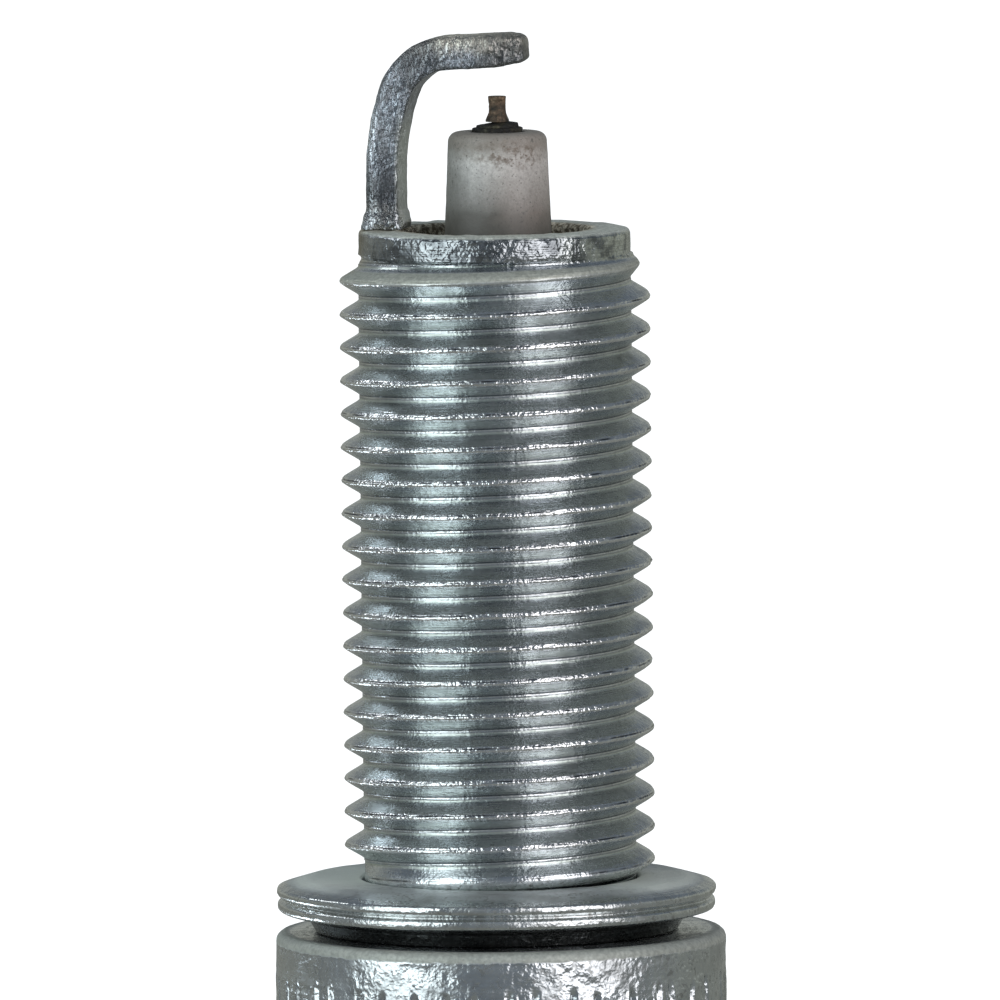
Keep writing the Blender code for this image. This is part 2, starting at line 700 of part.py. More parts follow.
def nut_outline():
    """Section of the screw-on nut: a base, a groove for the lead's clip and a chamfered barrel.
    The bore clears the crests of the stud's thread."""
    groove_top = NUT_SEAT_Z - NUT_BASE_LENGTH
    groove_end = groove_top - NUT_GROOVE_LENGTH
    bore_edge = NUT_CHAMFER / 2
    return [
        (NUT_BORE_R, NUT_SEAT_Z),
        (NUT_R - bore_edge, NUT_SEAT_Z),
        (NUT_R, NUT_SEAT_Z - bore_edge),
        (NUT_R, groove_top + NUT_GROOVE_SLOPE),
        (NUT_GROOVE_R, groove_top),
        (NUT_GROOVE_R, groove_end),
        (NUT_R, groove_end - NUT_GROOVE_SLOPE),
        (NUT_R, NUT_END_Z + NUT_CHAMFER),
        (NUT_R - NUT_CHAMFER / 2, NUT_END_Z),
        (NUT_BORE_R + bore_edge, NUT_END_Z),
        (NUT_BORE_R, NUT_END_Z + bore_edge),
    ]


# ---------------------------------------------------------------------------------------------------------
# Ground electrode
# ---------------------------------------------------------------------------------------------------------


def bar_section(half_width, half_thickness):
    """Loop of points (across, out) of a flat bar with rounded edges. out points away from the bend."""
    edge = min(BAR_EDGE_R, 0.9 * half_thickness, 0.9 * half_width)
    loop = []
    for quarter, (side_x, side_z) in enumerate(((1, 1), (-1, 1), (-1, -1), (1, -1))):
        centre = (side_x * (half_width - edge), side_z * (half_thickness - edge))
        loop += arc(centre, edge, edge, 90 * quarter, 90 * quarter + 90, CORNER_STEPS)
    return loop


def bar_line():
    """Stations (x, z, heading from upright in degrees) along the bar's centre line: an upright leg, a long
    lean, a tight bend and the arm, whose under face is a spark gap above the tip."""
    lean, arm = math.radians(BAR_LEAN_DEG), math.radians(BAR_ARM_DEG)
    bend_x = BAR_BEND_R * (math.cos(lean) - math.cos(arm))
    bend_z = BAR_BEND_R * (math.sin(arm) - math.sin(lean))
    lean_x = BAR_LEAN_R * (1 - math.cos(lean))
    lean_z = BAR_LEAN_R * math.sin(lean)
    arm_x = LEG_X + lean_x + bend_x
    rise = 1 / math.tan(arm)
    arm_z_at_axis = TIP_TOP_Z + SPARK_GAP + BAR_THICKNESS / 2
    arm_z = arm_z_at_axis + arm_x * rise
    lean_start_z = arm_z - bend_z - lean_z

    stations = [(LEG_X, LEG_FOOT_Z + WELD_HEIGHT, 0.0)]
    for k in range(CORNER_STEPS + 1):
        turn = lean * k / CORNER_STEPS
        x = LEG_X + BAR_LEAN_R * (1 - math.cos(turn))
        stations.append((x, lean_start_z + BAR_LEAN_R * math.sin(turn), math.degrees(turn)))
    for k in range(1, 2 * CORNER_STEPS + 1):
        turn = lean + (arm - lean) * k / (2 * CORNER_STEPS)
        x = LEG_X + lean_x + BAR_BEND_R * (math.cos(lean) - math.cos(turn))
        z = lean_start_z + lean_z + BAR_BEND_R * (math.sin(turn) - math.sin(lean))
        stations.append((x, z, math.degrees(turn)))
    for x in (ARM_OVERHANG - ARM_TRIM_LENGTH, ARM_OVERHANG - BAR_EDGE_R, ARM_OVERHANG):
        stations.append((x, arm_z_at_axis + x * rise, BAR_ARM_DEG))
    return stations


def add_bar_loop(mesh, station, half_width, half_thickness):
    """A loop of vertices of the bar's section at a station."""
    x, z, heading = station
    turn = math.radians(heading)
    out = Vector((-math.cos(turn), 0, math.sin(turn)))
    centre = Vector((x, 0, z))
    return [
        mesh.verts.new(centre + Vector((0, across, 0)) + out * away)
        for across, away in bar_section(half_width, half_thickness)
    ]


def arm_half_width(x):
    """Half the bar's width: full up to the trimmed end, then tapering."""
    trimmed = max(0.0, x - (ARM_OVERHANG - ARM_TRIM_LENGTH)) / ARM_TRIM_LENGTH
    return (BAR_WIDTH + (ARM_END_WIDTH - BAR_WIDTH) * trimmed) / 2


def make_ground_electrode(finish, assembly):
    """Bent bar with a ring of weld flash round its foot and a trimmed, rounded end."""
    mesh = bmesh.new()
    stations = bar_line()
    half_thickness = BAR_THICKNESS / 2
    foot = (LEG_X, LEG_FOOT_Z, 0.0)
    flash = (LEG_X, LEG_FOOT_Z + WELD_HEIGHT / 2, 0.0)
    loops = [
        add_bar_loop(mesh, foot, BAR_WIDTH / 2 + WELD_FLASH, half_thickness + WELD_FLASH),
        add_bar_loop(mesh, flash, BAR_WIDTH / 2 + WELD_FLASH, half_thickness + WELD_FLASH),
    ]
    for station in stations[:-1]:
        loops.append(add_bar_loop(mesh, station, arm_half_width(station[0]), half_thickness))
    end = stations[-1]
    end_cut = BAR_EDGE_R / 2
    loops.append(add_bar_loop(mesh, end, arm_half_width(end[0]) - end_cut, half_thickness - end_cut))
    bridge_all(mesh, loops)
    mesh.faces.new(loops[0])
    mesh.faces.new(loops[-1])
    bar = add_piece("ground_electrode", mesh, finish, assembly, RIM_Z)

    pocket = turned(pad_outline(PAD_R + FIT, PAD_THICKNESS + FIT, PAD_THICKNESS), SMALL_STEPS, closed=False)
    cutter = add_piece("pad_pocket_cutter", pocket, finish, assembly, RIM_Z)
    stand_on_arm(cutter)
    cutter.hide_render = True
    cutter.display_type = "WIRE"
    cut = bar.modifiers.new("pad_pocket", "BOOLEAN")
    cut.operation = "DIFFERENCE"
    cut.solver = "EXACT"
    cut.object = cutter
    return bar


def pad_outline(radius, height, below):
    """Section of a disc whose zero is in the arm's under face."""
    bottom = RIM_Z - below
    top = RIM_Z + height
    return [(0.0, bottom), (radius, bottom), (radius, top), (0.0, top)]


def stand_on_arm(piece):
    """Puts a piece's origin in the arm's under face, on the plug's axis, square to the arm."""
    tilt = math.radians(BAR_ARM_DEG - 90.0)
    under_z = TIP_TOP_Z + SPARK_GAP + BAR_THICKNESS / 2 * (1 - 1 / math.cos(tilt))
    piece.matrix_local = Matrix.Translation((0, 0, under_z)) @ Matrix.Rotation(tilt, 4, "Y")


def make_pad(finish, assembly):
    """Precious-metal disc let into the arm's under face."""
    disc = turned(pad_outline(PAD_R, PAD_THICKNESS, 0.0), SMALL_STEPS, closed=False)
    pad = add_piece("ground_electrode_pad", disc, finish, assembly, RIM_Z)
    stand_on_arm(pad)
    return pad


# ---------------------------------------------------------------------------------------------------------
# Assembly
# ---------------------------------------------------------------------------------------------------------


def main():
    for old in list(bpy.data.objects):
        bpy.data.objects.remove(old)
    assembly = bpy.data.objects.new("spark_plug", None)
    bpy.context.scene.collection.objects.link(assembly)

    plated_steel = make_finish("plated_steel", (0.55, 0.57, 0.57), 0.3, 1.0)
    nickel_alloy = make_finish("nickel_alloy", (0.45, 0.45, 0.43), 0.42, 1.0)
    dark_nickel = make_finish("dark_nickel", (0.10, 0.10, 0.09), 0.5, 1.0)
    alumina = make_finish("alumina", (0.80, 0.78, 0.74), 0.35, 0.0)
    copper = make_finish("copper", (0.72, 0.38, 0.24), 0.35, 1.0)
    seal_glass = make_finish("seal_glass", (0.28, 0.24, 0.20), 0.5, 0.0)
    resistor_glass = make_finish("resistor_glass", (0.08, 0.08, 0.08), 0.6, 0.0)
    talc = make_finish("talc", (0.86, 0.85, 0.82), 0.9, 0.0)
    soft_steel = make_finish("soft_steel", (0.5, 0.5, 0.5), 0.4, 1.0)

    make_shell(plated_steel, assembly)
    make_gasket(plated_steel, assembly)
    make_ground_electrode(nickel_alloy, assembly)
    make_pad(soft_steel, assembly)
    make_stud(soft_steel, assembly)
    make_packing_ring("lower_packing_ring", LOWER_RING_Z, soft_steel, assembly)
    make_packing_ring("upper_packing_ring", UPPER_RING_Z, soft_steel, assembly)

    rings = [
        ("insulator", insulator_outline(), alumina, 0.0),
        ("inner_seal_washer", seal_washer_outline(), soft_steel, LEDGE_Z),
        ("talc_packing", talc_outline(), talc, TALC_TOP_Z),
        ("terminal_nut", nut_outline(), plated_steel, NUT_SEAT_Z),
    ]
    for name, outline, finish, origin_z in rings:
        add_piece(name, turned(outline, TURNED_STEPS), finish, assembly, origin_z)

    rods = [
        ("center_electrode", centre_electrode_outline(), dark_nickel, ELECTRODE_HEAD_Z),
        ("center_electrode_core", core_outline(), copper, ELECTRODE_TAIL_Z),
        ("center_electrode_tip", tip_outline(), dark_nickel, TIP_FOOT_Z),
        ("lower_glass_seal", lower_seal_outline(), seal_glass, LOWER_SEAL_Z),
        ("suppressor_resistor", resistor_outline(), resistor_glass, RESISTOR_Z),
        ("upper_glass_seal", upper_seal_outline(), seal_glass, UPPER_SEAL_Z),
    ]
    for name, outline, finish, origin_z in rods:
        add_piece(name, turned(outline, SMALL_STEPS, closed=False), finish, assembly, origin_z)


main()
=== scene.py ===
"""A motorcycle spark plug's looks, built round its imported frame.

Sizes are named in millimetres and turned into metres where a surface becomes a mesh. +Z runs along the axis
towards the electrodes, z = 0 is the shell's gasket face, and the ground electrode's leg stands at -X.
"""

import math

import bmesh
import bpy
import numpy as np
from mathutils import Matrix, Vector


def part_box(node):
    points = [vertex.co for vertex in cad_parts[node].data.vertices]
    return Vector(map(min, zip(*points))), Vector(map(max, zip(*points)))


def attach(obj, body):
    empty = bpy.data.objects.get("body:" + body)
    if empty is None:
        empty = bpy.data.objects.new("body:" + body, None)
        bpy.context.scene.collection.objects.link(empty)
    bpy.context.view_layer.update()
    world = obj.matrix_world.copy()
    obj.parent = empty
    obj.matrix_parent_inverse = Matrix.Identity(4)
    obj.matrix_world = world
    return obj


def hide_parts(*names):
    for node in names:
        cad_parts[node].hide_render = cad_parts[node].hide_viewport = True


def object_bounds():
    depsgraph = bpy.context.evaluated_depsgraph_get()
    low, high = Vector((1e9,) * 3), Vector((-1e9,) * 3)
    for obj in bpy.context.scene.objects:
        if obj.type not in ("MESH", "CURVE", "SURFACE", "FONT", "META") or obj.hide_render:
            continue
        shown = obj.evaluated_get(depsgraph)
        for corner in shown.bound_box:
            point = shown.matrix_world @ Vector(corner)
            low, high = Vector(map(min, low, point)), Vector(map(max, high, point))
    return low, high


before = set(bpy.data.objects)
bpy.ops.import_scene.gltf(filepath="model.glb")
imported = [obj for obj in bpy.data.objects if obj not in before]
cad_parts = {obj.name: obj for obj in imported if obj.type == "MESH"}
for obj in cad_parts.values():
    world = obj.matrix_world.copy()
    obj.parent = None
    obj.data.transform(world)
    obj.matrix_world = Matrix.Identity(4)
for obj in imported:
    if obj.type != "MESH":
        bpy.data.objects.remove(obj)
cad_low, cad_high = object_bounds()

MM = 0.001
MERGE = 1e-7
FLANK_SLOPE = math.tan(math.radians(30.0))
HIDDEN_STEP = 1.2

# ---------------------------------------------------------------------------------------------------------
# Sizes in millimetres, from the frame where a node's box states them
# ---------------------------------------------------------------------------------------------------------


def corners_mm(node):
    """Lowest and highest corner of a CAD node, in millimetres."""
    low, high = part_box(node)
    return low / MM, high / MM


SHELL_HIGH = corners_mm("shell")[1]
GASKET_HIGH = corners_mm("gasket")[1]
INSULATOR_LOW, INSULATOR_HIGH = corners_mm("insulator")
BAR_LOW, BAR_HIGH = corners_mm("ground_electrode")
WIRE_LOW, WIRE_HIGH = corners_mm("center_electrode_tip")
SHEATH_LOW, SHEATH_HIGH = corners_mm("center_electrode")
NUT_LOW, NUT_HIGH = corners_mm("terminal_nut")

RIM_Z = SHELL_HIGH.z
COLLAR_R = SHELL_HIGH.x
THREAD_PITCH = 1.25
THREAD_MAJOR_R = 5.85
THREAD_ROOT_R = 5.1
THREAD_CREST_FLAT = 0.19
THREAD_START_Z = 1.29
THREAD_START_ANGLE = math.radians(190.0)
FIRST_CREST_Z = THREAD_START_Z + 0.755
THREAD_LOW, THREAD_HIGH = 1.1, RIM_Z - 1.0
THREAD_TURNS = 18.95
THREAD_RUN_OUT_TURNS = 0.45
THREAD_LEAD_TURNS = 0.95
SHANK_COLUMNS = 180
SHANK_ROWS_PER_TURN = 24
CHAMBER_R = 3.5
BODY_BORE_R = 3.88
LEDGE_Z = 15.6
COLLAR_LENGTH = 6.4
WAIST_R = 6.9
WAIST_SEAM_Z = -7.2
HEX_START_Z = -7.9
HEX_END_Z = -15.9
HEX_APOTHEM = 7.0
HEX_CORNER_R = HEX_APOTHEM + 1.06
FLANGE_BORE_R = 5.6
NOSE_BORE_R = 1.03
HEAD_R = 4.5
NOSE_ASIDE = 0.16
GASKET_ASIDE = -0.15
TERMINAL_TRAVEL = 7.5
FLOOR_GAP = 0.5

# ---------------------------------------------------------------------------------------------------------
# Surfaces
# ---------------------------------------------------------------------------------------------------------


def value_noise(across, up, seed, period=None):
    """Smooth random values from -1 to 1 at the points (across, up).

    Each point blends the four seeded values at the corners of its unit cell, with weights 3t^2 - 2t^3 of
    its place t in the cell. across repeats after period cells.
    """
    side = 512
    lattice = np.random.RandomState(seed).uniform(-1.0, 1.0, (side, side))
    across, up = np.broadcast_arrays(across, up)
    column, row = np.floor(across).astype(int), np.floor(up).astype(int)
    t, s = across - column, up - row
    t, s = t * t * (3 - 2 * t), s * s * (3 - 2 * s)
    wrap = period or side
    left, right = column % wrap % side, (column + 1) % wrap % side
    low, high = row % side, (row + 1) % side
    bottom = lattice[left, low] * (1 - t) + lattice[right, low] * t
    top = lattice[left, high] * (1 - t) + lattice[right, high] * t
    return bottom * (1 - s) + top * s


def round_noise(angle, height, radius, cell, seed, stretch=1.0):
    """Value noise on a cylinder of that radius, in cells of that size, stretched round the axis."""
    period = max(3, int(round(2 * math.pi * radius / (cell * stretch))))
    return value_noise(angle / (2 * math.pi) * period, height / cell + 97.0, seed, period)


def smooth_max(a, b, blend):
    """The larger of a and b, with a hyperbola of that width where they cross."""
    return (a + b + np.sqrt((a - b) ** 2 + blend**2)) / 2


def smooth_min(a, b, blend):
    """The smaller of a and b, blended in the same way."""
    return -smooth_max(-a, -b, blend)


def step_between(value, low, high):
    """0 below low, 1 above high, and 3t^2 - 2t^3 between them."""
    t = np.clip((value - low) / (high - low), 0.0, 1.0)
    return t * t * (3 - 2 * t)


def bump_at(value, centre, width):
    """A bell, 1 at the centre: exp(-((value - centre) / width)^2)."""
    return np.exp(-(((value - centre) / width) ** 2))


def filleted(corners, steps=6, closed=True):
    """Outline (n, 2) through corners (r, z, fillet): the arc at each corner touches both its sides, with
    its ends fillet / tan(half the corner's angle) away from the corner."""
    points = []
    count = len(corners)
    for k, (r, z, fillet) in enumerate(corners):
        here = np.array((r, z), float)
        if fillet == 0 or (not closed and k in (0, count - 1)):
            points.append(here)
            continue
        back = np.array(corners[k - 1][:2], float) - here
        ahead = np.array(corners[(k + 1) % count][:2], float) - here
        back_length, ahead_length = np.linalg.norm(back), np.linalg.norm(ahead)
        back, ahead = back / back_length, ahead / ahead_length
        half = math.acos(float(np.clip(back @ ahead, -1.0, 1.0))) / 2
        reach = min(fillet / math.tan(half), 0.49 * back_length, 0.49 * ahead_length)
        radius = reach * math.tan(half)
        bisector = (back + ahead) / np.linalg.norm(back + ahead)
        centre = here + bisector * radius / math.sin(half)
        start, end = here + back * reach - centre, here + ahead * reach - centre
        sweep = math.pi - 2 * half
        for t in np.linspace(0.0, 1.0, steps + 1):
            weights = math.sin((1 - t) * sweep), math.sin(t * sweep)
            points.append(centre + (start * weights[0] + end * weights[1]) / math.sin(sweep))
    return np.array(points)


def divided(outline, step, closed=True, hidden=None):
    """Outline with points added so that none are further apart than step, or than HIDDEN_STEP where
    hidden(radius, height) says that the middle of a stretch is out of sight."""
    ends = np.vstack([outline[1:], outline[:1]]) if closed else outline[1:]
    points = []
    for start, end in zip(outline, ends):
        middle = (start + end) / 2
        longest = HIDDEN_STEP if hidden is not None and hidden(middle[0], middle[1]) else step
        pieces = max(1, math.ceil(np.linalg.norm(end - start) / longest))
        t = np.arange(pieces)[:, None] / pieces
        points.append(start + t * (end - start))
    if not closed:
        points.append(outline[-1:])
    return np.vstack(points)


def angles_round(columns):
    """Angles of a turn's columns, first and last both at the back, where the seam is least seen."""
    return math.pi / 2 + 2 * math.pi * np.arange(columns + 1) / columns


def surface(name, points):
    """Object whose faces join each point of a (rows, columns, 3) grid in millimetres to its neighbours.
    Points that coincide merge, which closes seams and poles."""
    rows, columns = points.shape[:2]
    index = np.arange(rows * columns).reshape(rows, columns)
    quads = np.stack([index[:-1, :-1], index[:-1, 1:], index[1:, 1:], index[1:, :-1]], axis=-1)
    quads = quads.reshape(-1, 4)
    mesh = bpy.data.meshes.new(name)
    mesh.vertices.add(rows * columns)
    mesh.vertices.foreach_set("co", (points * MM).astype(np.float32).ravel())
    mesh.loops.add(quads.size)
    mesh.loops.foreach_set("vertex_index", quads.astype(np.int32).ravel())
    mesh.polygons.add(len(quads))
    mesh.polygons.foreach_set("loop_start", np.arange(0, quads.size, 4, dtype=np.int32))
    mesh.update(calc_edges=True)
    shape = bmesh.new()
    shape.from_mesh(mesh)
    bmesh.ops.remove_doubles(shape, verts=shape.verts, dist=MERGE)
    bmesh.ops.dissolve_degenerate(shape, edges=shape.edges, dist=MERGE)
    bmesh.ops.recalc_face_normals(shape, faces=shape.faces)
    shape.to_mesh(mesh)
    shape.free()
    mesh.shade_smooth()
    mesh.set_sharp_from_angle(angle=math.radians(50.0))
    piece = bpy.data.objects.new(name, mesh)
    bpy.context.scene.collection.objects.link(piece)
    return piece


def turned(name, radius, height, columns, lean=False):
    """Surface of rows of radii and heights (rows, columns + 1) round the axis."""
    angle = angles_round(columns)[None, :]
    radius, height, angle = np.broadcast_arrays(radius, height, angle)
    points = np.stack([radius * np.cos(angle), radius * np.sin(angle), height], axis=-1)
    return surface(name, leaned(points) if lean else points)


def leaned(points):
    """The insulator's slight lean: x grows by NOSE_ASIDE times a smooth step from seat to nose."""
    points[..., 0] += NOSE_ASIDE * step_between(points[..., 2], 13.0, 27.0)
    return points


def closed_rows(outline):
    """Columns of radii and of heights of a closed outline, with its first point repeated at the end."""
    loop = np.vstack([outline, outline[:1]])
    return loop[:, :1], loop[:, 1:]


# ---------------------------------------------------------------------------------------------------------
# Threads
# ---------------------------------------------------------------------------------------------------------


def thread_section(offset, pitch, root_r, major_r, crest_flat):
    """Radius at a distance along the axis from the nearest crest: a 60 degree flank, falling by the
    distance over tan 30, held between a rounded root and a rounded crest."""
    flank = major_r - (np.abs(offset) - crest_flat / 2) / FLANK_SLOPE
    return smooth_max(smooth_min(flank, major_r, 0.085 * pitch), root_r, 0.05 * pitch)


def crest_offset(angle, height, pitch, first_crest, first_angle):
    """Distance along the axis from the nearest crest of a right-hand helix, and turns since its start."""
    rise = (height - first_crest) / pitch - (angle - first_angle) / (2 * math.pi)
    offset = (rise - np.round(rise)) * pitch
    return offset, (height - offset - first_crest) / pitch


def sheared_rows(angle, base, low, high, pitch, rows_per_turn):
    """Heights (rows, columns) that climb one pitch a turn from base, over at least low to high. The rows
    crowd towards crests and roots: at fraction t of a pitch one stands at t - 0.7 sin(4 pi t) / (4 pi)."""
    turns = math.ceil((high - low) / pitch) + 2
    t = np.arange(turns * rows_per_turn + 1) / rows_per_turn
    placed = (t - 0.7 * np.sin(4 * math.pi * t) / (4 * math.pi)) * pitch
    climb = (angle - angle[0]) / (2 * math.pi) * pitch
    return base + placed[::-1, None] + climb[None, :]


def thread_heights(angle):
    """Rows of the thread, set so that crests lie where the rows are closest, and cut off at both ends."""
    at_seam = FIRST_CREST_Z + (angle[0] - THREAD_START_ANGLE) / (2 * math.pi) * THREAD_PITCH
    base = at_seam - THREAD_PITCH * math.ceil((at_seam - THREAD_LOW) / THREAD_PITCH + 1.0)
    rows = sheared_rows(angle, base, THREAD_LOW, THREAD_HIGH, THREAD_PITCH, SHANK_ROWS_PER_TURN)
    return np.clip(rows, THREAD_LOW, THREAD_HIGH)


def thread_radii(angle, height):
    """Radius of the rolled thread: its section with a seam along each crest's upper side, a low bead beside
    it and a second one in the root, growing from nothing over the run-out and dying away over the lead, and
    with nicks and waves on the crests."""
    offset, since = crest_offset(angle[None, :], height, THREAD_PITCH, FIRST_CREST_Z, THREAD_START_ANGLE)
    full = thread_section(offset, THREAD_PITCH, THREAD_ROOT_R, THREAD_MAJOR_R, THREAD_CREST_FLAT)
    seam_depth = 0.02 + 0.02 * round_noise(angle, height, 5.8, 2.0, 11)
    full = full - seam_depth * bump_at(offset, 0.055, 0.028) + 0.02 * bump_at(offset, -0.07, 0.07)
    full = full + 0.025 * bump_at(np.abs(offset), 0.5 * THREAD_PITCH, 0.07)
    crest = step_between(full, THREAD_MAJOR_R - 0.22, THREAD_MAJOR_R - 0.05)
    nicks = np.clip(round_noise(angle, height, 5.8, 0.3, 3, 1.6) - 0.35, 0, 1) * 0.07
    nicks = nicks + np.clip(round_noise(angle, height, 5.8, 0.9, 5, 2.0) - 0.55, 0, 1) * 0.12
    waves = 0.014 * round_noise(angle, height, 5.8, 0.22, 7, 2.4)
    full = full + crest * (waves - nicks)
    run_out = np.clip(since / THREAD_RUN_OUT_TURNS, 0, 1)
    lead = np.clip((THREAD_TURNS - since) / THREAD_LEAD_TURNS, 0, 1)
    return THREAD_ROOT_R + (full - THREAD_ROOT_R) * (run_out * lead)


def chamber_outline():
    """Bore, ledge, chamber, rim and pilot: from the gasket face up inside, then down to the thread."""
    deep = RIM_Z - 6.0
    pilot_r = THREAD_ROOT_R + 0.03
    corners = [
        (BODY_BORE_R, 0.0, 0.0),
        (BODY_BORE_R, LEDGE_Z - 0.4, 0.0),
        (CHAMBER_R, LEDGE_Z, 0.0),
        (CHAMBER_R, deep, 0.0),
        (CHAMBER_R, RIM_Z, 0.22),
        (pilot_r, RIM_Z, 0.2),
        (pilot_r, THREAD_HIGH + 0.05, 0.0),
    ]

    def deep_inside(radius, height):
        return radius < 4.0 and height < deep

    return divided(filleted(corners, closed=False), 0.25, False, deep_inside)


def chamber_wear(angle, radius, height):
    """Changes of radius and of height that wear makes: dents on the pilot, roughness inside, a low rim."""
    dents = 0.02 * round_noise(angle, height, 5.1, 0.5, 21)
    dents = dents + 0.012 * round_noise(angle, height, 5.1, 0.2, 22)
    inner = 0.03 * round_noise(angle, height, 3.5, 0.4, 23)
    across = np.where(radius > 4.6, dents - 0.02, inner)
    rim = 0.03 * (round_noise(angle, radius, 4.5, 0.5, 25) - 1)
    return across, np.where(bump_at(height, RIM_Z, 0.2) > 0.5, rim, 0.0)


def make_shank():
    """The threaded shank, with the pilot at the rim, the chamber inside and the neck below the thread."""
    angle = angles_round(SHANK_COLUMNS)
    ones = np.ones((1, SHANK_COLUMNS + 1))
    chamber = chamber_outline()
    chamber_r, chamber_z = chamber[:, :1] * ones, chamber[:, 1:] * ones
    worn_r, worn_z = chamber_wear(angle, chamber_r, chamber_z)

    neck = divided(np.array([(THREAD_ROOT_R, THREAD_LOW - 0.1), (THREAD_ROOT_R, 0.0)]), 0.2, closed=False)
    outer_z = np.vstack([thread_heights(angle), neck[:, 1:] * ones])
    outer_r = thread_radii(angle, outer_z) + 0.006 * round_noise(angle, outer_z, 5.4, 1.4, 31, 2.0)
    outer_r = outer_r - 0.10 * bump_at(outer_z, THREAD_HIGH - 0.1, 0.13)

    radius = np.vstack([chamber_r + worn_r, outer_r])
    height = np.vstack([chamber_z + worn_z, outer_z])
    radius = np.vstack([radius, radius[:1]])
    height = np.vstack([height, height[:1]])
    return turned("shell_shank", radius, height, SHANK_COLUMNS)


# ---------------------------------------------------------------------------------------------------------
# Collar and hexagon
# ---------------------------------------------------------------------------------------------------------


def make_collar():
    """Collar, down to the waist, with orange peel and a ring of plain stamped ticks on its side."""
    columns = 720
    corners = [
        (BODY_BORE_R, 0.0, 0.0),
        (COLLAR_R, 0.0, 0.34),
        (COLLAR_R, -COLLAR_LENGTH, 0.5),
        (WAIST_R, -COLLAR_LENGTH - 0.35, 0.3),
        (WAIST_R, WAIST_SEAM_Z, 0.0),
        (FLANGE_BORE_R, WAIST_SEAM_Z, 0.0),
        (FLANGE_BORE_R, -4.8, 0.0),
        (BODY_BORE_R, -3.0, 0.0),
    ]

    def inside(radius, height):
        return radius < FLANGE_BORE_R + 1.2 and height < -0.01 or radius < BODY_BORE_R + 0.01

    angle = angles_round(columns)[None, :]
    radius, height = closed_rows(divided(filleted(corners, steps=7), 0.16, hidden=inside))
    radius = radius * np.ones_like(angle)
    on_collar = step_between(radius, COLLAR_R - 0.6, COLLAR_R - 0.45) * (height > -COLLAR_LENGTH - 0.1)
    coarse = round_noise(angle, height, COLLAR_R, 0.42, 41)
    fine = round_noise(angle, height, COLLAR_R, 0.18, 42)
    radius = radius + on_collar * (0.016 * coarse + 0.008 * fine - 0.026)
    radius = radius - collar_ticks(angle, height) * (radius > COLLAR_R - 0.1)
    return turned("shell_collar", radius, height, columns)


def collar_ticks(angle, height):
    """Depth of a ring of stamped upright ticks, each with its own place, lean and length, drawn from seeded
    random numbers. A stroke is a bell across its width, with a burr raised on both sides of it."""
    count = 44
    random = np.random.RandomState(19)
    shift, lean, short = random.uniform(-0.9, 0.9, (3, count))
    place = angle / (2 * math.pi) * count
    number = np.floor(place).astype(int) % count
    across = (place - np.floor(place) - 0.5) * 2 * math.pi * COLLAR_R / count
    across = across - 0.30 * shift[number] - 0.22 * lean[number] * (height + 2.4)
    top, bottom = -1.60 - 0.12 * short[number], -3.0 + 0.5 * short[number]
    stroke = bump_at(across, 0.0, 0.085)
    below_top = 1 - step_between(height, top - 0.08, top + 0.08)
    span = step_between(height, bottom - 0.08, bottom + 0.08) * below_top
    burr = bump_at(np.abs(across), 0.20, 0.06)
    return span * (0.12 * stroke - 0.02 * burr)


def hexagon_radii(angle, radius, height):
    """Radius round the hexagon: its apothem over the cosine of the angle from a flat's middle, cut off at
    its corners and by a 30 degree cone at each end."""
    from_flat = (angle % math.radians(60.0)) - math.radians(30.0)
    flats = HEX_APOTHEM / np.cos(from_flat)
    from_end = np.minimum(HEX_START_Z - height, height - HEX_END_Z)
    cone = HEX_APOTHEM - 0.02 + np.clip(from_end, 0, None) / FLANK_SLOPE
    in_hexagon = (height <= HEX_START_Z + 0.09) & (height >= HEX_END_Z - 0.001) & (radius > HEX_APOTHEM)
    return np.where(in_hexagon, smooth_min(smooth_min(flats, HEX_CORNER_R, 0.05), cone, 0.03), radius)


def make_hexagon():
    """Waist, hexagon and crimped lip. The lip's two sides are quarter ellipses that meet at its edge."""
    columns = 360
    quarter = np.linspace(0.0, math.radians(86.0), 9)
    edge_r, root_r = HEAD_R + 0.12, 6.65
    outer, inner = root_r - edge_r, FLANGE_BORE_R - edge_r
    outside = [(edge_r + outer * math.cos(a), HEX_END_Z - 1.79 * math.sin(a), 0.0) for a in quarter]
    inside = [(edge_r + inner * math.cos(a), HEX_END_Z - 0.95 * math.sin(a), 0.0) for a in quarter]
    corners = [
        (FLANGE_BORE_R, WAIST_SEAM_Z, 0.0),
        (WAIST_R, WAIST_SEAM_Z, 0.0),
        (WAIST_R, HEX_START_Z + 0.1, 0.1),
        (HEX_CORNER_R - 0.01, HEX_START_Z, 0.0),
        (HEX_CORNER_R - 0.01, HEX_END_Z, 0.0),
        *outside,
        *inside[::-1],
    ]

    def on_bore(radius, height):
        return radius < FLANGE_BORE_R + 0.01 and height > HEX_END_Z

    angle = angles_round(columns)[None, :]
    radius, height = closed_rows(divided(filleted(corners, steps=7), 0.16, hidden=on_bore))
    radius = hexagon_radii(angle, radius * np.ones_like(angle), height)
    return turned("shell_hexagon", radius, height, columns)


# ---------------------------------------------------------------------------------------------------------
# Gasket
# ---------------------------------------------------------------------------------------------------------


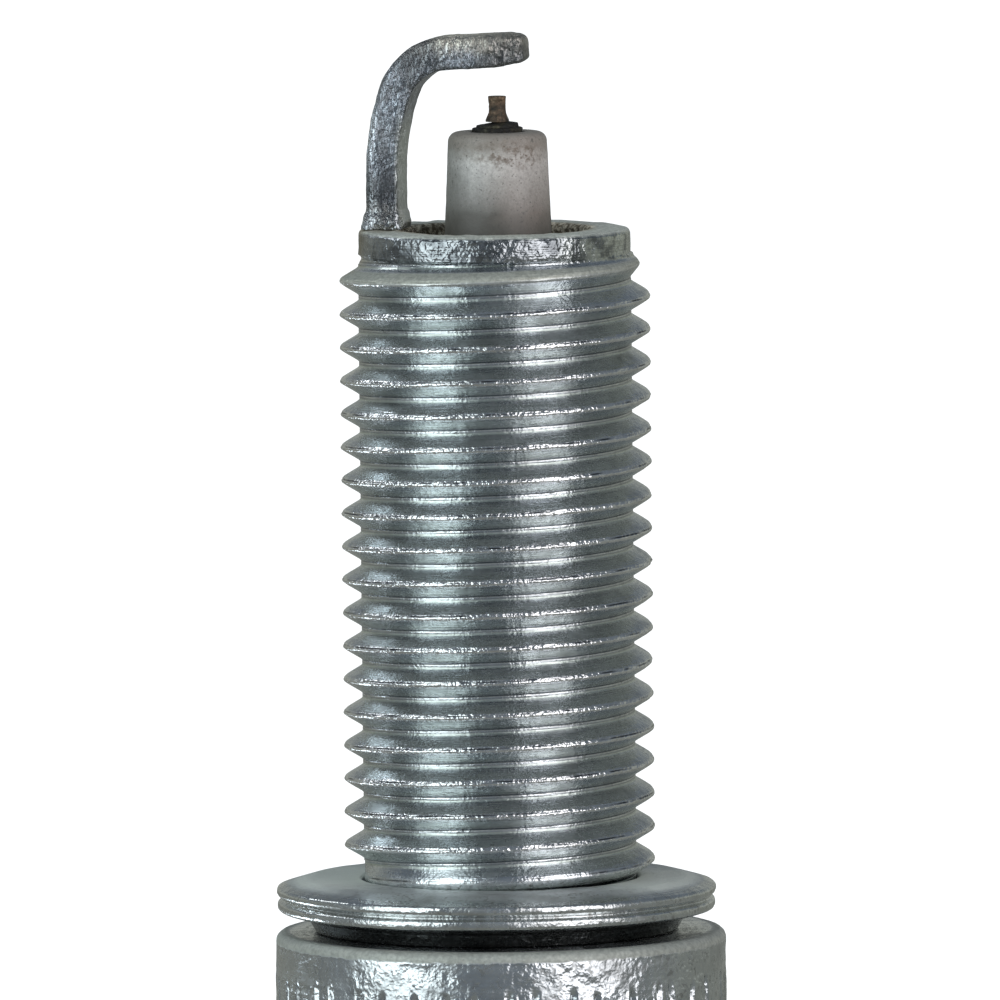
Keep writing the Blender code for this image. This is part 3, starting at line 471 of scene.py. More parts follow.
def make_gasket():
    """Folded ring: a dished top plate, a rolled lip, a crease, a second lip and a foot tucked under it. Its
    lips stand GASKET_ASIDE to one side of its bore."""
    columns = 288
    angle = angles_round(columns)[None, :]
    top, outer = GASKET_HIGH.z, GASKET_HIGH.x
    corners = [
        (5.22, top - 0.4, 0.0),
        (5.22, top - 0.02, 0.12),
        (7.1, top - 0.02, 1.2),
        (outer, top - 0.36, 0.17),
        (outer, top - 0.62, 0.17),
        (outer - 0.24, top - 0.79, 0.05),
        (outer - 0.03, top - 0.93, 0.14),
        (outer - 0.04, top - 1.22, 0.16),
        (outer - 0.45, top - 1.34, 0.12),
        (outer - 1.15, top - 1.48, 0.2),
        (outer - 1.45, 0.03, 0.15),
        (5.7, 0.03, 0.1),
        (5.7, 0.4, 0.1),
        (6.3, 0.5, 0.2),
        (6.6, 0.95, 0.2),
        (6.3, top - 0.45, 0.2),
    ]
    radius, height = closed_rows(divided(filleted(corners, steps=7), 0.12))
    lip = step_between(radius, 7.2, 8.1)
    radius = radius - lip * (0.012 + 0.012 * round_noise(angle, height, 8.2, 0.5, 51, 2.0))
    radius = radius - lip * 0.012 * round_noise(angle, height, 8.2, 0.18, 53, 1.5)
    height = height + lip * 0.02 * round_noise(angle, height * 0, 8.2, 4.0, 52)
    low_spots = 1 + round_noise(angle, radius, 7.0, 1.0, 54)
    height = height - 0.03 * step_between(height, top - 0.2, top) * low_spots / 2
    aside = GASKET_ASIDE * step_between(radius, 5.3, 7.0)
    points = np.stack([radius * np.cos(angle) + aside, radius * np.sin(angle), height], axis=-1)
    return surface("crush_gasket", points)


# ---------------------------------------------------------------------------------------------------------
# Insulator and centre electrode
# ---------------------------------------------------------------------------------------------------------


def make_insulator():
    """Alumina body from the nose to the ribbed head. The ribs' grooves are half a cosine deep."""
    columns = 144
    nose_z, end_z = INSULATOR_HIGH.z, INSULATOR_LOW.z
    corners = [
        (NOSE_BORE_R, nose_z, 0.05),
        (1.85, nose_z, 0.38),
        (1.885, nose_z - 0.7, 0.0),
        (2.01, RIM_Z, 0.0),
        (2.55, 14.1, 0.0),
        (3.85, 12.8, 0.0),
        (3.85, -3.05, 0.0),
        (5.55, -4.85, 0.0),
        (5.55, -10.4, 0.0),
        (HEAD_R, -10.4, 0.0),
        (HEAD_R, end_z + 1.4, 0.6),
        (3.3, end_z, 0.35),
        (1.62, end_z, 0.0),
        (1.62, 12.2, 0.0),
        (NOSE_BORE_R, 12.8, 0.0),
    ]

    def in_bore(radius, height):
        return radius < 1.7 and height < nose_z - 1.0

    radius, height = closed_rows(divided(filleted(corners, steps=10), 0.16, hidden=in_bore))
    ribs_low, rib_pitch, ribs, groove_depth = end_z + 1.9, 2.3, 5, 0.5
    phase = (height - ribs_low) / rib_pitch
    groove = step_between(0.5 - 0.5 * np.cos(2 * math.pi * phase), 0.25, 0.85)
    on_ribs = (phase > 0) & (phase < ribs) & (radius > HEAD_R - 0.1)
    radius = radius - np.where(on_ribs, groove_depth * groove, 0.0)
    angle = angles_round(columns)[None, :]
    on_nose = step_between(height, RIM_Z - 3, RIM_Z - 2) * (radius > 1.3)
    radius = radius + on_nose * 0.008 * (round_noise(angle, height, 1.9, 0.25, 61) - 1)
    return turned("insulator_body", radius, height, columns, lean=True)


def make_sheath():
    """Nickel sheath: a headed rod with a blind hole up its middle for the copper, and above the nose a
    stepped shoulder with a lumpy bead of weld round the wire."""
    columns = 96
    angle = angles_round(columns)[None, :]
    top, tail = SHEATH_HIGH.z, SHEATH_LOW.z
    hole_r, hole_end = 0.60, 27.17
    corners = [
        (0.0, top, 0.0),
        (0.40, top - 0.01, 0.05),
        (0.80, top - 0.07, 0.06),
        (0.84, top - 0.22, 0.04),
        (0.97, top - 0.25, 0.05),
        (0.98, top - 0.42, 0.0),
        (0.98, tail + 2.2, 0.0),
        (1.57, tail + 1.65, 0.1),
        (1.57, tail + 0.8, 0.1),
        (0.95, tail + 0.8, 0.0),
        (0.95, tail, 0.05),
        (hole_r, tail, 0.0),
        (hole_r, hole_end, 0.0),
        (0.0, hole_end, 0.0),
    ]
    outline = divided(filleted(corners, steps=5, closed=False), 0.12, closed=False)
    radius, height = outline[:, :1], outline[:, 1:]
    exposed = step_between(height, top - 0.5, top - 0.4) * step_between(radius, 0.1, 0.35)
    radius = radius - exposed * 0.03 * (1 + round_noise(angle, height, 0.9, 0.14, 71))
    tilt = 0.05 * np.cos(angle - math.radians(20.0)) * exposed
    height = height + (tilt - 0.05) * step_between(height, top - 0.3, top - 0.1)
    return turned("sheath", radius, height, columns, lean=True)


def make_wire():
    """Fine wire, waisted a little above the flared weld at its foot."""
    columns = 64
    angle = angles_round(columns)[None, :]
    low, high = WIRE_LOW.z - 0.05, WIRE_HIGH.z
    corners = [(0.0, low, 0.0), (0.45, low, 0.0), (0.45, low + 0.06, 0.03), (0.335, low + 0.34, 0.25)]
    corners += [(0.325, high - 0.4, 0.3), (0.35, high, 0.03), (0.0, high, 0.0)]
    outline = divided(filleted(corners, steps=6, closed=False), 0.035, closed=False)
    radius, height = outline[:, :1], outline[:, 1:]
    side = step_between(radius, 0.1, 0.3)
    radius = radius - side * 0.012 * (1 + round_noise(angle, height, 0.35, 0.09, 73))
    return turned("fine_wire", radius, height, columns, lean=True)


# ---------------------------------------------------------------------------------------------------------
# Ground electrode
# ---------------------------------------------------------------------------------------------------------

BAR_THICKNESS = 1.25
BAR_WIDTH = 2.2
LEG_X = -4.11
LEAN_R, LEAN_ANGLE = 9.2, math.radians(19.6)
BEND_R, ARM_ANGLE = 2.18, math.radians(87.4)
SPARK_GAP = 1.1
BAR_STEP = 0.035


def bar_stations():
    """Centre line (x, z) and heading of the bar at even steps: an upright leg, an arc of LEAN_R, a tighter
    arc of BEND_R and a straight arm. On an arc of radius R the heading grows by the step over R."""
    arm_z = WIRE_HIGH.z + SPARK_GAP + BAR_THICKNESS / 2
    bend_x = BEND_R * (math.cos(LEAN_ANGLE) - math.cos(ARM_ANGLE))
    bend_z = BEND_R * (math.sin(ARM_ANGLE) - math.sin(LEAN_ANGLE))
    lean_x, lean_z = LEAN_R * (1 - math.cos(LEAN_ANGLE)), LEAN_R * math.sin(LEAN_ANGLE)
    arm_start_x = LEG_X + lean_x + bend_x
    arm_start_z = arm_z + arm_start_x / math.tan(ARM_ANGLE)
    leg_length = arm_start_z - bend_z - lean_z - RIM_Z
    lengths = [
        leg_length,
        LEAN_R * LEAN_ANGLE,
        BEND_R * (ARM_ANGLE - LEAN_ANGLE),
        (BAR_HIGH.x - arm_start_x) / math.sin(ARM_ANGLE),
    ]
    total = sum(lengths)
    along = np.linspace(0.0, total, int(total / BAR_STEP) + 1)
    starts = np.concatenate([[0.0], np.cumsum(lengths)])
    heading = np.interp(along, starts, [0.0, 0.0, LEAN_ANGLE, ARM_ANGLE, ARM_ANGLE])
    step = np.diff(along, prepend=0.0)
    middle = (heading + np.concatenate([[0.0], heading[:-1]])) / 2
    x = LEG_X + np.cumsum(np.sin(middle) * step)
    z = RIM_Z + np.cumsum(np.cos(middle) * step)
    return along, x, z, heading, total


def bar_ring(half_width, half_thickness, outer_edge, inner_edge, count):
    """Rounded rectangle (across, out) with its own radius on the outer and on the inner corners, in about
    count points."""
    corners = [
        (half_width, half_thickness, outer_edge),
        (-half_width, half_thickness, outer_edge),
        (-half_width, -half_thickness, inner_edge),
        (half_width, -half_thickness, inner_edge),
    ]
    return divided(filleted(corners, steps=8), 4 * (half_width + half_thickness) / count)


def worn_end(across, out, left):
    """Rounds the bar's end as a quarter circle 0.30 long, narrows its last 1.5, drops its top edge and
    raises its under side."""
    end_round = np.sqrt(np.clip(1 - np.clip(1 - left / 0.30, 0, 1) ** 2, 0.0, 1))
    taper = 1 - 0.30 * step_between(1.5 - left, 0.0, 1.5)
    across = across * taper * (0.55 + 0.45 * end_round)
    top_drop = 0.10 * step_between(0.7 - left, 0.0, 0.7)
    under_rise = 0.15 * step_between(1.25 - left, 0.0, 1.2)
    out = np.where(out > 0, out - top_drop * (out > 0.2), out + under_rise * (out < -0.2))
    return across, out * (0.45 + 0.55 * end_round)


def bar_wear(ring, along, left):
    """How far the bar's surface stands out: three sizes of value noise, deeper at its end, and a bead of
    weld round its foot that swells as (1 - t^2)^1.4."""
    place = np.cumsum(np.linalg.norm(np.diff(ring, axis=0, prepend=ring[:1]), axis=1))[None, :]
    period = int(round(place[0, -1] / 0.2))
    cells = place / place[0, -1] * period
    pits = value_noise(cells, along / 0.2, 81, period)
    lumps = value_noise(cells / 2, along / 0.45, 82, period // 2)
    fine = value_noise(cells * 2, along / 0.09, 83, period * 2)
    wear = 0.012 * pits + 0.016 * lumps + 0.006 * fine
    wear = wear + 0.03 * step_between(1.2 - left, 0, 1.2) * pits
    bulge = np.clip(1 - ((along - 0.12) / 0.55) ** 2, 0, 1) ** 1.4 + 0.25 * step_between(-along, -0.9, -0.3)
    bead = 0.19 * bulge * (1 + 0.3 * value_noise(cells / 2, along / 0.3, 84, period // 2))
    return wear + bead


def make_ground_electrode():
    """The bent bar: a rounded rectangle carried along its centre line, rough, with a worn end and a lumpy
    bead of weld round its foot. Both ends close on the middle of their last ring."""
    along, x, z, heading, total = bar_stations()
    ring = bar_ring(BAR_WIDTH / 2, BAR_THICKNESS / 2, 0.36, 0.16, 96)
    ring = np.vstack([ring, ring[:1]])
    along = along[:, None]
    left = total - along
    across, out = worn_end(np.ones_like(along) * ring[:, 0], np.ones_like(along) * ring[:, 1], left)
    grow = 1 + bar_wear(ring, along, left) / (np.hypot(across, out) + 1e-6)
    across, out = across * grow, out * grow

    turn = heading[:, None]
    points = np.stack([x[:, None] - out * np.cos(turn), across, z[:, None] + out * np.sin(turn)], axis=-1)
    foot_centre = np.broadcast_to(points[:1].mean(axis=1, keepdims=True), points[:1].shape)
    tip_centre = np.broadcast_to(points[-1:].mean(axis=1, keepdims=True), points[:1].shape)
    points = np.concatenate([foot_centre, points, tip_centre])
    points[..., 0] = np.clip(points[..., 0], BAR_LOW.x, BAR_HIGH.x)
    points[..., 2] = np.clip(points[..., 2], None, BAR_HIGH.z)
    return surface("bent_electrode", points)


# ---------------------------------------------------------------------------------------------------------
# Terminal
# ---------------------------------------------------------------------------------------------------------


def make_nut():
    """The screw-on terminal: base, clip groove and barrel."""
    columns = 144
    top, end, outer = NUT_HIGH.z, NUT_LOW.z, NUT_HIGH.x
    corners = [
        (2.06, top, 0.15),
        (outer, top, 0.28),
        (outer, top - 1.35, 0.18),
        (2.72, top - 1.75, 0.3),
        (2.72, top - 3.15, 0.3),
        (outer, top - 3.55, 0.18),
        (outer, end + 0.35, 0.2),
        (outer - 0.3, end, 0.1),
        (2.3, end, 0.1),
        (2.06, end + 0.3, 0.1),
    ]
    radius, height = closed_rows(divided(filleted(corners, steps=6), 0.2))
    return turned("terminal_cap", radius, height, columns)


# ---------------------------------------------------------------------------------------------------------
# Shader graphs
# ---------------------------------------------------------------------------------------------------------


class Graph:
    """Adds nodes to a tree. A value given for a socket is set on it, and an output given for one is
    linked."""

    def __init__(self, tree):
        self.tree = tree

    def node(self, kind, sockets=None, **settings):
        """New node of a kind, with its settings and its sockets filled."""
        made = self.tree.nodes.new(kind)
        for key, value in settings.items():
            setattr(made, key, value)
        for key, value in (sockets or {}).items():
            if isinstance(value, bpy.types.NodeSocket):
                self.tree.links.new(value, made.inputs[key])
            else:
                made.inputs[key].default_value = value
        return made

    def link(self, output, socket):
        self.tree.links.new(output, socket)

    def math(self, operation, first, second=0.5, third=0.5):
        return self.node("ShaderNodeMath", {0: first, 1: second, 2: third}, operation=operation).outputs[0]

    def times(self, first, second):
        return self.math("MULTIPLY", first, second)

    def spread(self, value, low, high, new_low=0.0, new_high=1.0):
        """Value mapped from low..high to new_low..new_high, held at both ends."""
        sockets = {"Value": value, "From Min": low, "From Max": high, "To Min": new_low, "To Max": new_high}
        return self.node("ShaderNodeMapRange", sockets).outputs["Result"]

    def between(self, value, low, low_full, high_full, high):
        """1 from low_full to high_full, falling to 0 at low and at high."""
        return self.times(self.spread(value, low, low_full), self.spread(value, high_full, high, 1.0, 0.0))

    def mix(self, factor, first, second):
        """Colour that is the first at factor 0 and the second at factor 1."""
        return self.node("ShaderNodeMix", {0: factor, 6: first, 7: second}, data_type="RGBA").outputs[2]

    def noise(self, vector, scale, detail=3.0, roughness=0.55):
        sockets = {"Vector": vector, "Scale": scale, "Detail": detail, "Roughness": roughness}
        return self.node("ShaderNodeTexNoise", sockets).outputs[0]

    def scaled(self, vector, x, y, z):
        """Vector times (x, y, z)."""
        return self.node("ShaderNodeVectorMath", {0: vector, 1: (x, y, z)}, operation="MULTIPLY").outputs[0]

    def place_mm(self):
        """The object's own coordinates in millimetres."""
        return self.scaled(self.node("ShaderNodeTexCoord").outputs["Object"], 1000.0, 1000.0, 1000.0)

    def effect(self, tree, **sockets):
        """A placed node group. A space in a socket's name is written as an underscore."""
        named = {key.replace("_", " "): value for key, value in sockets.items()}
        return self.node("ShaderNodeGroup", named, node_tree=tree)


def new_effect(name, inputs, outputs):
    """Node group with float inputs {name: default} and float outputs, its graph, its two ends, and the
    object's own coordinates in millimetres as a vector and as x, y and z."""
    tree = bpy.data.node_groups.new(name, "ShaderNodeTree")
    for key, default in inputs.items():
        socket = tree.interface.new_socket(key, in_out="INPUT", socket_type="NodeSocketFloat")
        socket.default_value = default
    for key in outputs:
        tree.interface.new_socket(key, in_out="OUTPUT", socket_type="NodeSocketFloat")
    graph = Graph(tree)
    place = graph.place_mm()
    axes = graph.node("ShaderNodeSeparateXYZ", {0: place}).outputs
    start, end = graph.node("NodeGroupInput").outputs, graph.node("NodeGroupOutput").inputs
    return tree, graph, start, end, place, axes


def round_axis(graph, axes):
    """Radius and angle round Z of a point, from its x and y."""
    square = graph.math("MULTIPLY_ADD", axes[0], axes[0], graph.times(axes[1], axes[1]))
    return graph.math("SQRT", square), graph.math("ARCTAN2", axes[1], axes[0])


def make_turning_lines():
    """Fine lines left by a lathe: noise of radius and height, stretched far round the axis."""
    tree, graph, start, end, place, axes = new_effect(
        "turning_lines", {"Line Width": 0.1, "Wander": 0.4}, ["Height", "Streak"]
    )
    radius, angle = round_axis(graph, axes)
    per_line = graph.math("DIVIDE", 1.0, start["Line Width"])
    wander = graph.times(graph.math("SINE", angle), start["Wander"])
    lines_out = graph.times(radius, per_line)
    across = graph.math("MULTIPLY_ADD", graph.math("COSINE", angle), start["Wander"], lines_out)
    along = graph.times(axes[2], per_line)
    line = graph.node("ShaderNodeCombineXYZ", {0: across, 1: wander, 2: along}).outputs[0]
    graph.link(graph.noise(line, 1.0, 1.0, 0.4), end["Height"])
    patch = graph.scaled(place, 0.7, 0.7, 0.7)
    streak = graph.times(graph.noise(line, 0.45, 2.0), graph.noise(patch, 1.0, 2.0))
    graph.link(graph.spread(streak, 0.16, 0.36), end["Streak"])
    return tree


def make_grime():
    """Three noises: dirt in blotches, specks a ninth of their size, and a tint a third of their size."""
    tree, graph, start, end, place, axes = new_effect(
        "grime", {"Blotch Size": 2.0, "Amount": 0.5}, ["Mask", "Specks", "Tint"]
    )
    per_blotch = graph.math("DIVIDE", 1.0, start["Blotch Size"])
    blotch = graph.noise(place, per_blotch, 4.0, 0.6)
    high = graph.math("SUBTRACT", 0.95, graph.times(start["Amount"], 0.6))
    low = graph.math("SUBTRACT", high, 0.3)
    specks = graph.spread(graph.noise(place, graph.times(per_blotch, 9.0), 3.0, 0.7), 0.52, 0.72)
    graph.link(graph.spread(blotch, low, high), end["Mask"])
    graph.link(graph.times(specks, start["Amount"]), end["Specks"])
    graph.link(graph.noise(place, graph.times(per_blotch, 3.0), 2.0), end["Tint"])
    return tree


def make_pitting():
    """Small dents and grains: fine noise added to a coarser one, and pits where the coarse one is high and
    the fine one low."""
    tree, graph, start, end, place, axes = new_effect("pitting", {"Grain": 0.12}, ["Height", "Pits"])
    per_grain = graph.math("DIVIDE", 1.0, start["Grain"])
    fine = graph.noise(place, per_grain, 1.0, 0.45)
    coarse = graph.noise(place, graph.times(per_grain, 0.3), 2.0, 0.5)
    pits = graph.spread(fine, 0.36, 0.48, 1.0, 0.0)
    graph.link(graph.math("MULTIPLY_ADD", coarse, 1.6, fine), end["Height"])
    graph.link(graph.times(pits, graph.spread(coarse, 0.4, 0.6)), end["Pits"])
    return tree


def make_height_bands():
    """How far a point is up the axis, and how far from it: both in millimetres, each mapped to 0..1 between
    two limits, with the edges made ragged by noise."""
    tree, graph, start, end, place, axes = new_effect(
        "bands",
        {"Low": 0.0, "High": 1.0, "Ragged": 0.3, "Inner": 0.0, "Outer": 1.0, "Cell": 0.6},
        ["Above", "Beyond"],
    )
    radius, angle = round_axis(graph, axes)
    per_cell = graph.math("DIVIDE", 1.0, start["Cell"])
    even = graph.math("SUBTRACT", graph.noise(place, per_cell, 3.0, 0.6), 0.5)
    shake = graph.times(even, start["Ragged"])
    above = graph.spread(graph.math("ADD", axes[2], shake), start["Low"], start["High"])
    beyond = graph.spread(graph.math("MULTIPLY_ADD", shake, 0.3, radius), start["Inner"], start["Outer"])
    graph.link(above, end["Above"])
    graph.link(beyond, end["Beyond"])
    return tree


def make_thread_phase():
    """Signed distance in millimetres, along the axis, from the nearest crest of a right-hand helix."""
    tree, graph, start, end, place, axes = new_effect(
        "thread_phase", {"Pitch": 1.25, "First Crest": 0.0, "First Angle": 0.0}, ["Offset"]
    )
    radius, angle = round_axis(graph, axes)
    turned_by = graph.times(graph.math("SUBTRACT", angle, start["First Angle"]), 0.5 / math.pi)
    climbed = graph.math("DIVIDE", graph.math("SUBTRACT", axes[2], start["First Crest"]), start["Pitch"])
    rise = graph.math("SUBTRACT", climbed, turned_by)
    part = graph.math("SUBTRACT", rise, graph.math("ROUND", rise))
    graph.link(graph.times(part, start["Pitch"]), end["Offset"])
    return tree


TURNING_LINES = make_turning_lines()
GRIME = make_grime()
PITTING = make_pitting()
BANDS = make_height_bands()
THREAD_PHASE = make_thread_phase()

# ---------------------------------------------------------------------------------------------------------
# Materials
# ---------------------------------------------------------------------------------------------------------


class Finish:
    """A material with a Principled surface, whose sockets are painted over one mask at a time."""

    def __init__(self, name, metallic, ior=1.5):
        self.material = bpy.data.materials.new(name)
        self.material.use_nodes = True
        self.material.node_tree.nodes.clear()
        self.graph = Graph(self.material.node_tree)
        principled = self.graph.node("ShaderNodeBsdfPrincipled")
        output = self.graph.node("ShaderNodeOutputMaterial")
        self.graph.link(principled.outputs[0], output.inputs[0])
        self.inputs = principled.inputs
        self.inputs["Metallic"].default_value = metallic
        self.inputs["IOR"].default_value = ior
        self.inputs["Specular IOR Level"].default_value = 0.5
        self.inputs["Coat Weight"].default_value = 0.0
        self.inputs["Coat Roughness"].default_value = 0.1
        self.place = self.graph.place_mm()

    def feed(self, name, output):
        """Links an output to a socket of the surface."""
        self.graph.link(output, self.inputs[name])

    def under(self, name):
        """What a socket of the surface has now: an output, or a plain value."""
        socket = self.inputs[name]
        return socket.links[0].from_socket if socket.links else socket.default_value

    def colour(self, mask, colour, share=None):
        """Puts a colour over the base colour, by a share of the mask."""
        factor = mask if share is None else self.graph.times(mask, share)
        self.feed("Base Color", self.graph.mix(factor, self.under("Base Color"), colour))

    def level(self, name, mask, value, share=None):
        """Moves a plain socket, such as Roughness, to a value by a share of the mask."""
        factor = mask if share is None else self.graph.times(mask, share)
        sockets = {0: factor, 2: self.under(name), 3: value}
        self.feed(name, self.graph.node("ShaderNodeMix", sockets, data_type="FLOAT").outputs[0])

    def relief(self, height, distance_um):
        """Adds a bump to the normal: the height's range 0..1 stands for that many micrometres."""
        sockets = {"Height": height, "Distance": distance_um * 1e-6, "Strength": 1.0}
        if self.inputs["Normal"].links:
            sockets["Normal"] = self.under("Normal")
        self.feed("Normal", self.graph.node("ShaderNodeBump", sockets).outputs[0])

    def grain(self, scale, detail=3.0, roughness=0.55):
        return self.graph.noise(self.place, scale, detail, roughness)

    def above(self, low, high, ragged, cell):
        """Mask, 0 below one height in millimetres and 1 above another, with a ragged edge."""
        sockets = dict(Low=low, High=high, Ragged=ragged, Inner=0.0, Outer=0.01, Cell=cell)
        return self.graph.effect(BANDS, **sockets).outputs["Above"]

    def beyond(self, inner, outer, ragged, cell):
        """Mask, 0 within one radius and 1 beyond another, with a ragged edge."""
        sockets = dict(Low=0.0, High=0.01, Ragged=ragged, Inner=inner, Outer=outer, Cell=cell)
        return self.graph.effect(BANDS, **sockets).outputs["Beyond"]

    def corner(self, low, high, inner, outer, ragged, cell):
        """The masks above two heights and beyond two radii, in that order."""
        sockets = dict(Low=low, High=high, Ragged=ragged, Inner=inner, Outer=outer, Cell=cell)
        outputs = self.graph.effect(BANDS, **sockets).outputs
        return outputs["Above"], outputs["Beyond"]

    def near(self, point, reach, ragged, cell, squeeze=(1.0, 1.0, 1.0)):
        """Mask, 1 at a point in millimetres and 0 beyond reach of it, with an edge made ragged by noise.
        The distance counts each axis as many times as squeeze says."""
        squeezed = self.graph.scaled(self.place, *squeeze)
        centre = tuple(p * s for p, s in zip(point, squeeze))
        distance = self.graph.node("ShaderNodeVectorMath", {0: squeezed, 1: centre}, operation="DISTANCE")
        shake = self.graph.times(self.graph.math("SUBTRACT", self.grain(1.0 / cell), 0.5), ragged)
        away = self.graph.math("ADD", distance.outputs["Value"], shake)
        return self.graph.spread(away, reach * 0.45, reach, 1.0, 0.0)


def plated_metal(name, clean, dull, dirty, roughness, grime, line, grain, line_depth, grain_depth, blotch):
    """Plated or bare metal: two tones in patches, grime over them, and turning lines and grain as bumps.
    Sizes are in millimetres and depths in micrometres."""
    finish = Finish(name, 1.0)
    graph = finish.graph
    lines = graph.effect(TURNING_LINES, Line_Width=line).outputs
    dirt = graph.effect(GRIME, Blotch_Size=blotch, Amount=grime).outputs
    pit = graph.effect(PITTING, Grain=grain).outputs
    tone = graph.mix(graph.spread(dirt["Tint"], 0.35, 0.65), clean, dull)
    cover = graph.math("MAXIMUM", graph.times(dirt["Mask"], 0.75), graph.times(pit["Pits"], 0.6))
    finish.feed("Base Color", graph.mix(cover, tone, dirty))
    base = graph.math("MULTIPLY_ADD", lines["Streak"], 0.12, roughness)
    finish.feed("Roughness", graph.math("MULTIPLY_ADD", cover, 0.25, base))
    finish.relief(lines["Height"], line_depth)
    finish.relief(pit["Height"], grain_depth)
    return finish


def paint_crests(finish):
    """Darker towards the roots, and crests that are dented, smoother and brighter."""
    graph = finish.graph
    root = finish.beyond(5.12, 5.42, 0.25, 0.5)
    finish.colour(graph.spread(root, 0.0, 1.0, 0.12, 0.0), (0.22, 0.22, 0.20, 1))
    crest = finish.beyond(5.66, 5.80, 0.12, 0.3)
    finish.relief(graph.times(finish.grain(7.0, 1.0, 0.5), crest), 46.0)
    finish.level("Roughness", crest, 0.12, 0.6)
    finish.colour(crest, (0.78, 0.78, 0.77, 1), 0.5)


def paint_flanks(finish, offset, threaded):
    """Painted reflection and shade by the distance from the nearest crest: upper flanks bluer and lower
    flanks greener, painted shade in the seam rolled in beside the crest and in the root's corner and middle,
    and a painted highlight on the root's lower edge."""
    graph = finish.graph
    # Painted reflection: upper flanks tinted bluer, lower flanks greener.
    upper_flank_reflection = graph.times(graph.between(offset, 0.06, 0.16, 0.42, 0.54), threaded)
    finish.colour(upper_flank_reflection, (0.36, 0.405, 0.455, 1), 0.35)
    lower_flank_reflection = graph.times(graph.between(offset, -0.50, -0.42, -0.22, -0.14), threaded)
    finish.colour(lower_flank_reflection, (0.42, 0.49, 0.45, 1), 0.3)
    # Painted shade: dark in the rolled seam beside the crest.
    seam = graph.times(graph.between(offset, 0.015, 0.035, 0.065, 0.09), threaded)
    finish.colour(seam, (0.08, 0.085, 0.095, 1), graph.spread(finish.grain(0.7, 2.0), 0.46, 0.60))
    # Painted shade in the root's corner and along its middle.
    root_corner_shade = graph.times(graph.between(offset, -0.565, -0.545, -0.515, -0.49), threaded)
    finish.colour(root_corner_shade, (0.05, 0.065, 0.085, 1), 0.8)
    root_middle_shade = graph.between(graph.math("ABSOLUTE", offset), 0.596, 0.610, 0.7, 0.8)
    finish.colour(root_middle_shade, (0.24, 0.27, 0.30, 1), 0.6)
    # Painted highlight on the root's lower edge, which is also made rougher.
    root_low_highlight = graph.times(graph.between(offset, 0.49, 0.53, 0.59, 0.605), threaded)
    finish.colour(root_low_highlight, (0.46, 0.52, 0.47, 1), 0.6)
    finish.level("Roughness", root_low_highlight, 0.32, 0.7)


def paint_pilot(finish, pilot):
    """The plain band at the rim: chipped, darker, dusted on one side and worn in patches."""
    graph = finish.graph
    finish.relief(graph.times(finish.grain(5.0, 1.5, 0.55), pilot), 56.0)
    finish.colour(pilot, (0.30, 0.32, 0.335, 1), 0.85)
    dusted = finish.near((4.9, -1.6, 26.0), 3.2, 1.2, 0.5)
    finish.colour(dusted, (0.56, 0.59, 0.55, 1), pilot)
    worn = graph.times(graph.spread(finish.grain(1.5, 3.0, 0.6), 0.46, 0.60), pilot)
    finish.colour(worn, (0.12, 0.13, 0.14, 1), 0.75)


def paint_powder(finish, offset, threaded):
    """White corrosion: pale powder on the rim's flat, and matt, sandy grains on the first flank."""
    graph = finish.graph
    grains = graph.spread(finish.grain(7.0, 3.0, 0.7), 0.38, 0.62)
    rim = finish.above(26.36, 26.44, 0.1, 0.4)
    finish.colour(rim, graph.mix(grains, (0.50, 0.525, 0.46, 1), (0.84, 0.87, 0.79, 1)), 0.9)
    finish.level("Roughness", rim, 0.55)
    finish.level("Metallic", rim, 0.45)
    first_turn, outside = finish.corner(24.3, 24.5, 5.25, 5.35, 0.1, 0.4)
    upper_flank = graph.times(threaded, graph.between(offset, -0.08, 0.04, 0.62, 0.64))
    matt = graph.times(graph.times(first_turn, outside), upper_flank)
    finish.level("Roughness", matt, 0.55, 0.8)
    finish.colour(matt, graph.mix(grains, (0.30, 0.31, 0.26, 1), (0.48, 0.495, 0.425, 1)), 0.85)
    finish.level("Metallic", matt, 0.3, 0.7)


def paint_burning(finish):
    """Brown scorching round the electrode's weld, and flecked soot in the chamber."""
    graph = finish.graph
    scorch = finish.near((-4.6, 0.0, 26.4), 2.9, 1.6, 0.5)
    finish.colour(scorch, (0.30, 0.26, 0.17, 1), 0.8)
    finish.level("Roughness", scorch, 0.5, 0.7)
    above, beyond = finish.corner(14.0, 15.0, 3.62, 3.95, 0.4, 0.35)
    soot = graph.times(graph.math("SUBTRACT", 1.0, beyond), above)
    flecks = graph.spread(finish.grain(4.5, 3.0, 0.7), 0.44, 0.60)
    finish.colour(soot, graph.mix(flecks, (0.15, 0.125, 0.08, 1), (0.80, 0.75, 0.60, 1)))
    finish.level("Roughness", soot, 0.75)
    finish.level("Metallic", soot, 0.0)


def make_thread_metal():
    """Plated shank: the thread, the pilot above it, the rim and the chamber."""
    finish = plated_metal(
        "plated_thread", (0.73, 0.76, 0.775, 1), (0.66, 0.69, 0.70, 1), (0.22, 0.225, 0.21, 1),
        0.15, 0.30, 0.06, 0.11, 15.0, 14.0, 1.6,
    )
    paint_crests(finish)
    pilot = finish.above(25.40, 25.48, 0.05, 0.4)
    threaded = finish.graph.math("SUBTRACT", 1.0, pilot)
    helix = finish.graph.effect(
        THREAD_PHASE, Pitch=THREAD_PITCH, First_Crest=FIRST_CREST_Z, First_Angle=THREAD_START_ANGLE
    )
    paint_flanks(finish, helix.outputs["Offset"], threaded)
    paint_pilot(finish, pilot)
    paint_powder(finish, helix.outputs["Offset"], threaded)
    paint_burning(finish)
    return finish.material


